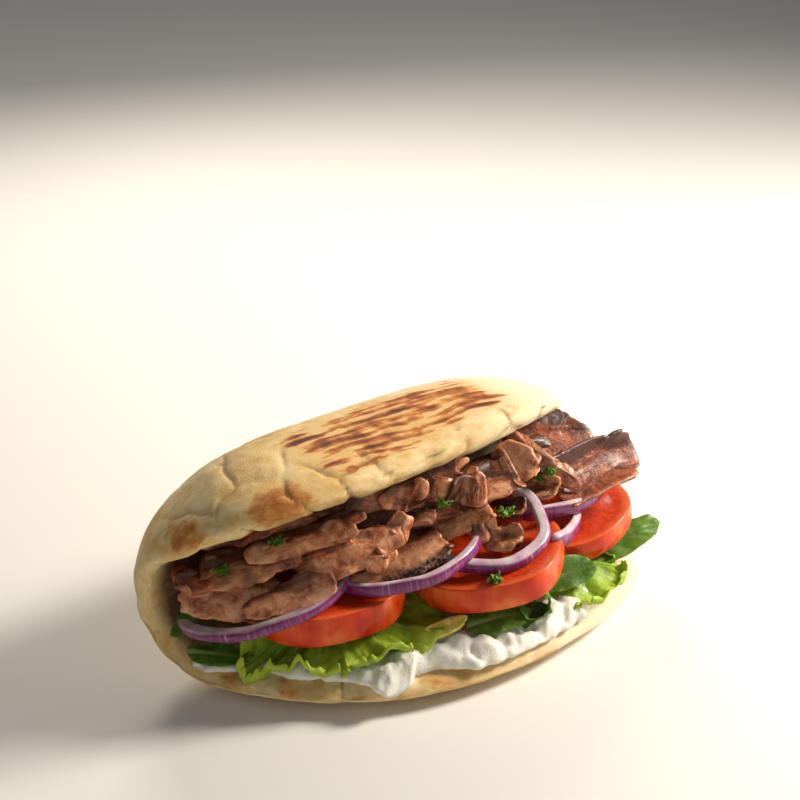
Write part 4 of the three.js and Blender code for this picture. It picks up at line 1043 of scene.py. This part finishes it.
def spit_roast():
    """Spit-roasted meat, carved: moist pink-brown cut faces with long fibres and a film of fat
    that glistens, and a dry dark brown crust with orange spice along the outer edges. A thin
    orange band along the top edges is a painted highlight; folds, tucked parts and undersides
    are painted darker as shade."""
    roast = new_finish("spit_roast")
    grain = add(roast, "Attribute", attribute_name="grain").outputs["Vector"]
    roasted = add(roast, "Attribute", attribute_name="roasted").outputs["Fac"]
    peppered = add(roast, "Attribute", attribute_name="peppered").outputs["Fac"]
    hollow = add(roast, "Attribute", attribute_name="hollow").outputs["Fac"]
    patchy = add(roast, "TexNoise", {
        "Vector": grain, "Scale": 1 / 5, "Detail": 6.0, "Roughness": 0.6, "Distortion": 0.8})
    brown = add(roast, "ValToRGB", {0: patchy}, stops=[
        (0.38, "#4A2412"), (0.47, "#6C3820"), (0.55, "#905436"), (0.66, "#B07A54")])
    pink = add(roast, "ValToRGB", {0: patchy}, stops=[
        (0.38, "#A44E2E"), (0.48, "#D48256"), (0.6, "#F0B48C")])
    tone = add(roast, "Attribute", attribute_name="tone").outputs["Fac"]
    lean = add(roast, "Mix", {0: tone, 6: brown, 7: pink}, data_type="RGBA")
    # Fibres are about 0.2 mm thick: drawn here at 0.8 mm, so that they show.
    drawn = add(roast, "VectorMath", {0: grain, 1: (0.3, 1.0, 0.4)}, operation="MULTIPLY")
    fibres = add(roast, "TexNoise", {"Vector": drawn, "Scale": 1.0, "Detail": 4.0, "Roughness": 0.6})
    threads = add(roast, "MapRange", {0: fibres, 1: 0.3, 2: 0.7, 3: 0.86, 4: 1.1})
    combed = add(roast, "VectorMath", {0: lean, 3: threads}, operation="SCALE")
    # Seams of fat run along the fibres as thin pale lines.
    seams = add(roast, "VectorMath", {0: grain, 1: (0.05, 0.28, 0.1)}, operation="MULTIPLY")
    seams = add(roast, "TexNoise", {"Vector": seams, "Scale": 1.0, "Detail": 2.0, "Distortion": 0.5})
    off = add(roast, "Math", {0: seams, 1: -0.5}, operation="ADD")
    off = add(roast, "Math", {0: off}, operation="ABSOLUTE")
    fat = add(roast, "MapRange", {0: off, 1: 0.0, 2: 0.03, 3: 0.16, 4: 0.0})
    cut = add(roast, "Mix", {0: fat, 6: combed, 7: colour("#DDB49C")}, data_type="RGBA")
    crust = add(roast, "ValToRGB", {0: patchy}, stops=[
        (0.34, "#4A2010"), (0.48, "#80381C"), (0.64, "#B8602E")])
    uneven = add(roast, "TexNoise", {"Vector": grain, "Scale": 1 / 2.6, "Detail": 4.0, "Roughness": 0.65})
    browned = add(roast, "Math", {0: uneven, 1: 1.3, 2: -0.65}, operation="MULTIPLY_ADD")
    browned = add(roast, "Math", {0: roasted, 1: browned}, operation="ADD")
    browned = add(roast, "MapRange", {0: browned, 1: 0.2, 2: 0.9})
    seared = add(roast, "Mix", {0: browned, 6: cut, 7: crust}, data_type="RGBA")
    # Painted highlight: a thin orange band along the top edges of each slice.
    margin = add(roast, "Attribute", attribute_name="margin").outputs["Fac"]
    margin = add(roast, "Math", {0: margin, 1: 0.3}, operation="MULTIPLY")
    seared = add(roast, "Mix", {0: margin, 6: seared, 7: colour("#CF8450")}, data_type="RGBA")
    # Painted shade: the folds and the parts tucked under the next slice turn deep brown.
    juicy = add(roast, "MapRange", {0: hollow, 1: 0.45, 2: 0.9, 3: 0.0, 4: 0.88})
    deep = add(roast, "Mix", {0: juicy, 6: seared, 7: colour("#42190C")}, data_type="RGBA")
    # Painted highlight: the crests of the folds, where the meat is not crusted, are lightened to pale
    # orange.
    ridge = add(roast, "MapRange", {0: hollow, 1: 0.42, 2: 0.1, 3: 0.0, 4: 0.5})
    fresh = add(roast, "Math", {0: 1.0, 1: browned}, operation="SUBTRACT")
    ridge = add(roast, "Math", {0: ridge, 1: fresh}, operation="MULTIPLY")
    deep = add(roast, "Mix", {0: ridge, 6: deep, 7: colour("#E8A878")}, data_type="RGBA")
    # Painted shade: the undersides are darkened to near black-brown.
    under = add(roast, "Attribute", attribute_name="under").outputs["Fac"]
    charred = add(roast, "Math", {0: under, 1: 0.8}, operation="MULTIPLY")
    deep = add(roast, "Mix", {0: charred, 6: deep, 7: colour("#3A170A")}, data_type="RGBA")
    crumbs = add(roast, "TexVoronoi", {"Vector": grain, "Scale": 1 / 1.3})
    specks = add(roast, "MapRange", {0: crumbs, 1: 0.6, 2: 0.3})
    denser = add(roast, "Math", {0: specks, 1: 0.6}, operation="ADD", use_clamp=True)
    black = add(roast, "Math", {0: denser, 1: peppered}, operation="MULTIPLY")
    shade = add(roast, "Mix", {0: black, 6: deep, 7: colour("#17100C")}, data_type="RGBA")
    height = add(roast, "Math", {0: uneven, 1: 1.5, 2: fibres}, operation="MULTIPLY_ADD")
    bump = add(roast, "Bump", {"Height": height, "Strength": 0.6, "Distance": 0.0005})
    rough = add(roast, "MapRange", {0: uneven, 1: 0.3, 2: 0.7, 3: 0.3, 4: 0.6})
    surface = add(roast, "BsdfPrincipled", {
        "Base Color": shade, "Roughness": rough, "Normal": bump, "IOR": 1.42,
        "Subsurface Weight": 0.15, "Subsurface Radius": (1.0, 0.35, 0.2), "Subsurface Scale": 0.0015,
        "Coat Weight": 0.22, "Coat Roughness": 0.25})
    add(roast, "OutputMaterial", {0: surface})
    return roast


meat_finish = spit_roast()
for name, spec in SLICES.items():
    *slice_body, spots = carve_slice(**spec)
    flecks = chop_parsley(spots) if spots else None
    carved = make_piece(name + "_carved", *slice_body, meat_finish, flecks, parsley_finish)
    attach(carved, "root")
    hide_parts(name)


# ------------------------------------------------------------------ the heap of trimmings
# The small bits that fall with the slices as they are carved, of the same spit-roasted meat: a
# core pressed together behind the slices, out to the wall of the fold, with curls, nuggets and
# crumbs lying loose between them.

HEAP_HALF_LENGTH, HEAP_MIDDLE_X = 84, 4
HEAP_OVER = dict(foot_y=28, foot_z=40, foot_fold=2, brink_y=12, brink_z=52, brink_fold=44)
HEAP_BEHIND = dict(foot_y=17.5, foot_z=15, foot_fold=-24, brink_y=-9, brink_z=62, brink_fold=62)
HEAP_DEPTH = (8.5, 7.5)
HEAP_RINGS, HEAP_SPOKES = 40, 180
# The larger curls and nuggets of the heap that show between the slices.
CURLS = [
    dict(at=(-74, 17, 64), heading=-34, climb=20, lean=50, length=40, width=13, roast=1, tone=0),
    # A dark roasted curl in the pocket at the left end, which also stands in for the shade there.
    dict(at=(-91, 25, 50), heading=-46, climb=10, lean=35, length=24, width=20, thickness=4, roast=0.9,
         tone=0),
    dict(at=(-15.9, -10.4, 66), heading=-8, climb=52, length=9, width=8, thickness=7, blunt=2, rugged=1.5,
         tone=1),
    dict(at=(-11, -11.6, 65), heading=46, climb=65, length=10, width=6, thickness=5, blunt=3, rugged=2,
         tone=0.2),
    dict(at=(-8.2, -14.2, 65), heading=23, climb=63, lean=20, length=10, width=10, thickness=2.4, curl=-190,
         tone=0.9),
    dict(at=(-4.6, -16.6, 63.5), heading=46, climb=65, length=11, width=7, thickness=5, blunt=3, rugged=2,
         tone=0.3),
    dict(at=(-1.2, -20, 64), heading=23, climb=63, lean=20, length=11, width=16, thickness=2.8, curl=210,
         tone=1),
    dict(at=(-37.5, -15.8, 50.5), heading=68, climb=63, length=8, width=6, thickness=5.5, blunt=2,
         tone=0.9),
    dict(at=(-0.1, -26.8, 50), heading=86, climb=58, lean=-36, length=12, width=5.5, thickness=5.5, blunt=2,
         tone=1),
    dict(at=(6.4, -25.8, 51.5), heading=78, climb=61, lean=-29, length=9, width=5, thickness=5, blunt=2,
         tone=0.6),
    dict(at=(-12, -17.5, 58), heading=-41, climb=7, lean=40, length=18, width=6, thickness=3, roast=0.7,
         tone=0),
    dict(at=(-76.8, -6.4, 45.5), heading=-36, climb=18, lean=48, length=32, width=11, curl=-35, rugged=1.0,
         tone=0.9),
    dict(at=(22.6, -20.4, 65), heading=-83, climb=-53, lean=45, length=15, width=5, thickness=4, blunt=4,
         roast=0.4, rugged=0.2, tone=1),
    dict(at=(48.4, -26.4, 54), heading=23, climb=40, lean=20, length=11, width=9, thickness=7, blunt=3,
         tone=0.8),
    dict(at=(29, -23.5, 62), heading=-30, climb=10, lean=40, length=12, width=7, thickness=3, tone=0.5),
    dict(at=(-67, -4.5, 47), heading=-20, climb=15, lean=40, length=12, width=8, thickness=5, blunt=3,
         rugged=1.5, tone=0.7),
    dict(at=(-61, -4, 56.5), heading=-34, climb=14, lean=50, length=26, width=5, thickness=3, roast=1,
         tone=0, rugged=1.3),
    dict(at=(-50, 1.5, 60.5), heading=-30, climb=12, lean=50, length=26, width=7, thickness=3, roast=0.9,
         tone=0.3, rugged=1.3),
    dict(at=(18, -27, 52), heading=-60, climb=20, lean=30, length=13, width=9, thickness=3, curl=80,
         tone=0.2),
    dict(at=(-20, -15, 57), heading=-50, climb=15, lean=30, length=13, width=8, thickness=3, curl=60,
         tone=0.1),
]
CURL_DETAIL = 0.6
CRUMBS, CRUMB_DETAIL = 26, 0.35
CRUMB_HOMES = ("02", "03", "05", "08", "10", "11", "12", "12", "13", "14", "17", "18")
HEAP_FLECKS = [(-17.7, -14.6, 57), (-11.2, -18, 60.5), (9, -31.3, 54), (40.3, -26.5, 58)]


def pile_trimmings():
    """The heap's points and faces: a lumpy core of bits pressed together."""
    marks = {}

    def face(r, angle, side):
        u = signed_power(np.cos(angle), 0.5) * r
        level = (signed_power(np.sin(angle), 0.5) * r + 1) / 2
        x = HEAP_MIDDLE_X + HEAP_HALF_LENGTH * u
        behind = smooth((x + 45) / 35)
        at = {key: HEAP_OVER[key] + (HEAP_BEHIND[key] - HEAP_OVER[key]) * behind for key in HEAP_OVER}
        round_fold = at["foot_fold"] + (at["brink_fold"] - at["foot_fold"]) * level
        depth = HEAP_DEPTH[0] + (HEAP_DEPTH[1] - HEAP_DEPTH[0]) * smooth(2 * level)
        wall = fold(x - FOLD_START[0], round_fold, -depth)
        front_y = at["foot_y"] + (at["brink_y"] - at["foot_y"]) * smooth((level - 0.42) / 0.2)
        front = np.stack([x, front_y, at["foot_z"] + (at["brink_z"] - at["foot_z"]) * level], -1)
        share = (0.5 + 0.5 * side * np.sqrt(np.maximum(0, 1 - r ** 12)))[:, None]
        points = wall + (front - wall) * share
        lumps = 1.6 * rumple(points, 7, 11) + 0.9 * rumple(points, 3, 12)
        points = points + lumps[:, None] * np.array((0, -0.7, 0.5)) * (side > 0)[:, None]
        marks["grain"] = points
        marks["roasted"] = 0.45 + 0.4 * rumple(points, 9, 13)
        marks["peppered"] = marks["margin"] = 0 * r
        # Painted shade: the core behind the slices is darkened all over, as underside and as hollows.
        marks["under"] = 0.75 + 0 * r
        marks["tone"] = 0.1 + 0 * r
        marks["hollow"] = 0.75 - 0.25 * rumple(points, 6, 14)
        return points

    points, faces, *_ = lens(face, np.linspace(0.03, 1, HEAP_RINGS), HEAP_SPOKES)
    return points, faces, marks


def scatter_crumbs():
    """Crumbs that broke off along the edges of the slices."""
    crumbs = []
    homes = [SLICES["meat_slice_" + number] for number in CRUMB_HOMES]
    for k in range(CRUMBS):
        home = homes[int(scatter(k, 1) * len(homes))]
        turn = 2 * np.pi * scatter(k, 2)
        out = 0.8 + 0.3 * scatter(k, 3)
        spot = bent(
            home["length"] / 2 * out * math.cos(turn), home["width"] / 2 * out * math.sin(turn), 1.0,
            home["length"], home["width"], home.get("bend", 0), home.get("curl", 0))
        place = placed(home["at"], home.get("heading", 0), home.get("climb", 0), home.get("lean", 0))
        crumbs.append(carve_slice(
            at=tuple(moved(spot, place)), heading=360 * scatter(k, 4), climb=80 * (scatter(k, 5) - 0.5),
            length=3.5 + 3 * scatter(k, 7), width=3 + 2.5 * scatter(k, 8),
            thickness=2.2 + 1.5 * scatter(k, 9), phase=6 * scatter(k, 11), tone=scatter(k, 12),
            rugged=1.4, blunt=4, detail=CRUMB_DETAIL)[:3])
    return crumbs


curls = [carve_slice(detail=CURL_DETAIL, phase=k, **curl)[:3] for k, curl in enumerate(CURLS)]
heap = gather([pile_trimmings()] + curls + scatter_crumbs())
trimmings = make_piece("trimmings", *heap, meat_finish, chop_parsley(HEAP_FLECKS), parsley_finish)
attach(trimmings, "root")
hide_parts("meat_heap")


# ------------------------------------------------------------------ the strip of pepper
# A short strip of pickled yellow pepper, cut lengthways with a knife and dropped between the
# tomatoes and the sauce, which hold it.

PEPPER = dict(at=(-26, -35, 22), heading=-20, climb=4, lean=30, length=17, width=6, thickness=3.5)


def pickled_pepper():
    """Pickled yellow pepper: waxy, wet skin, a little see-through."""
    pickled = new_finish("pickled_pepper")
    place = add(pickled, "Attribute", attribute_name="grain").outputs["Vector"]
    uneven = add(pickled, "TexNoise", {"Vector": place, "Scale": 1 / 3, "Detail": 3.0})
    shade = add(pickled, "ValToRGB", {0: uneven}, stops=[(0.35, "#D6C23A"), (0.65, "#F2E68A")])
    surface = add(pickled, "BsdfPrincipled", {
        "Base Color": shade, "Roughness": 0.22, "IOR": 1.4,
        "Subsurface Weight": 0.3, "Subsurface Radius": (1.0, 0.8, 0.2), "Subsurface Scale": 0.002})
    add(pickled, "OutputMaterial", {0: surface})
    return pickled


*strip, _ = carve_slice(detail=0.7, **PEPPER)
pepper = make_piece("pepper_pickled", *strip, pickled_pepper())
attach(pepper, "root")
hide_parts("pepper_strip")


# ------------------------------------------------------------------ the studio
# A plain pale floor, a warm lamp to the right, softer ones behind and at the front left, and a
# pale sky. Lengths here are in metres.

FLOOR_REACH = 4
SKY_STRENGTH = 0.16
AIM = (0, 0, 0.04)  # the middle of the sandwich

floor_mesh = bpy.data.meshes.new("floor")
corners = [(FLOOR_REACH * x, FLOOR_REACH * y, 0) for x, y in ((-1, -1), (1, -1), (1, 1), (-1, 1))]
floor_mesh.from_pydata(corners, [], [(0, 1, 2, 3)])
pale_floor = new_finish("pale_floor")
matt = add(pale_floor, "BsdfPrincipled", {"Base Color": colour("#F2F0EC"), "Roughness": 0.8})
add(pale_floor, "OutputMaterial", {0: matt})
floor_mesh.materials.append(pale_floor)
floor = bpy.data.objects.new("floor", floor_mesh)
bpy.context.collection.objects.link(floor)

sky = bpy.data.worlds.new("sky")
sky.use_nodes = True
sky.node_tree.nodes["Background"].inputs[0].default_value = (1, 1, 1, 1)
sky.node_tree.nodes["Background"].inputs[1].default_value = SKY_STRENGTH
bpy.context.scene.world = sky


def lamp(name, place, size, watts, tint):
    light = bpy.data.lights.new(name, "AREA")
    light.size, light.energy, light.color = size, watts, tint
    holder = bpy.data.objects.new(name, light)
    holder.location = place
    holder.rotation_euler = (Vector(AIM) - Vector(place)).to_track_quat("-Z", "Y").to_euler()
    bpy.context.collection.objects.link(holder)


lamp("key_lamp", place=(0.62, -0.3, 0.46), size=0.2, watts=10.5, tint=(1.0, 0.92, 0.8))
lamp("back_lamp", place=(0.3, 0.6, 0.5), size=0.3, watts=3, tint=(1.0, 0.9, 0.76))
lamp("fill_lamp", place=(-0.5, -0.7, 0.3), size=0.7, watts=0.7, tint=(1.0, 0.93, 0.85))

# The camera looks down on the sandwich from its front left corner.
RIGHT = Vector((0.71511, -0.69901, 0))
UP = Vector((0.29712, 0.30397, 0.90516))
AHEAD = Vector((0.63272, 0.64730, -0.42506))
EYE_AT = Vector((-0.347741, -0.344891, 0.326072))
LENS, SENSOR = 65, 36  # millimetres
eye = bpy.data.cameras.new("eye")
eye.lens, eye.sensor_width = LENS, SENSOR
camera = bpy.data.objects.new("camera", eye)
turned = Matrix((RIGHT, UP, -AHEAD)).transposed().to_4x4()
camera.matrix_world = Matrix.Translation(EYE_AT) @ turned
bpy.context.collection.objects.link(camera)
bpy.context.scene.camera = camera
bpy.context.scene.view_settings.view_transform = "Standard"
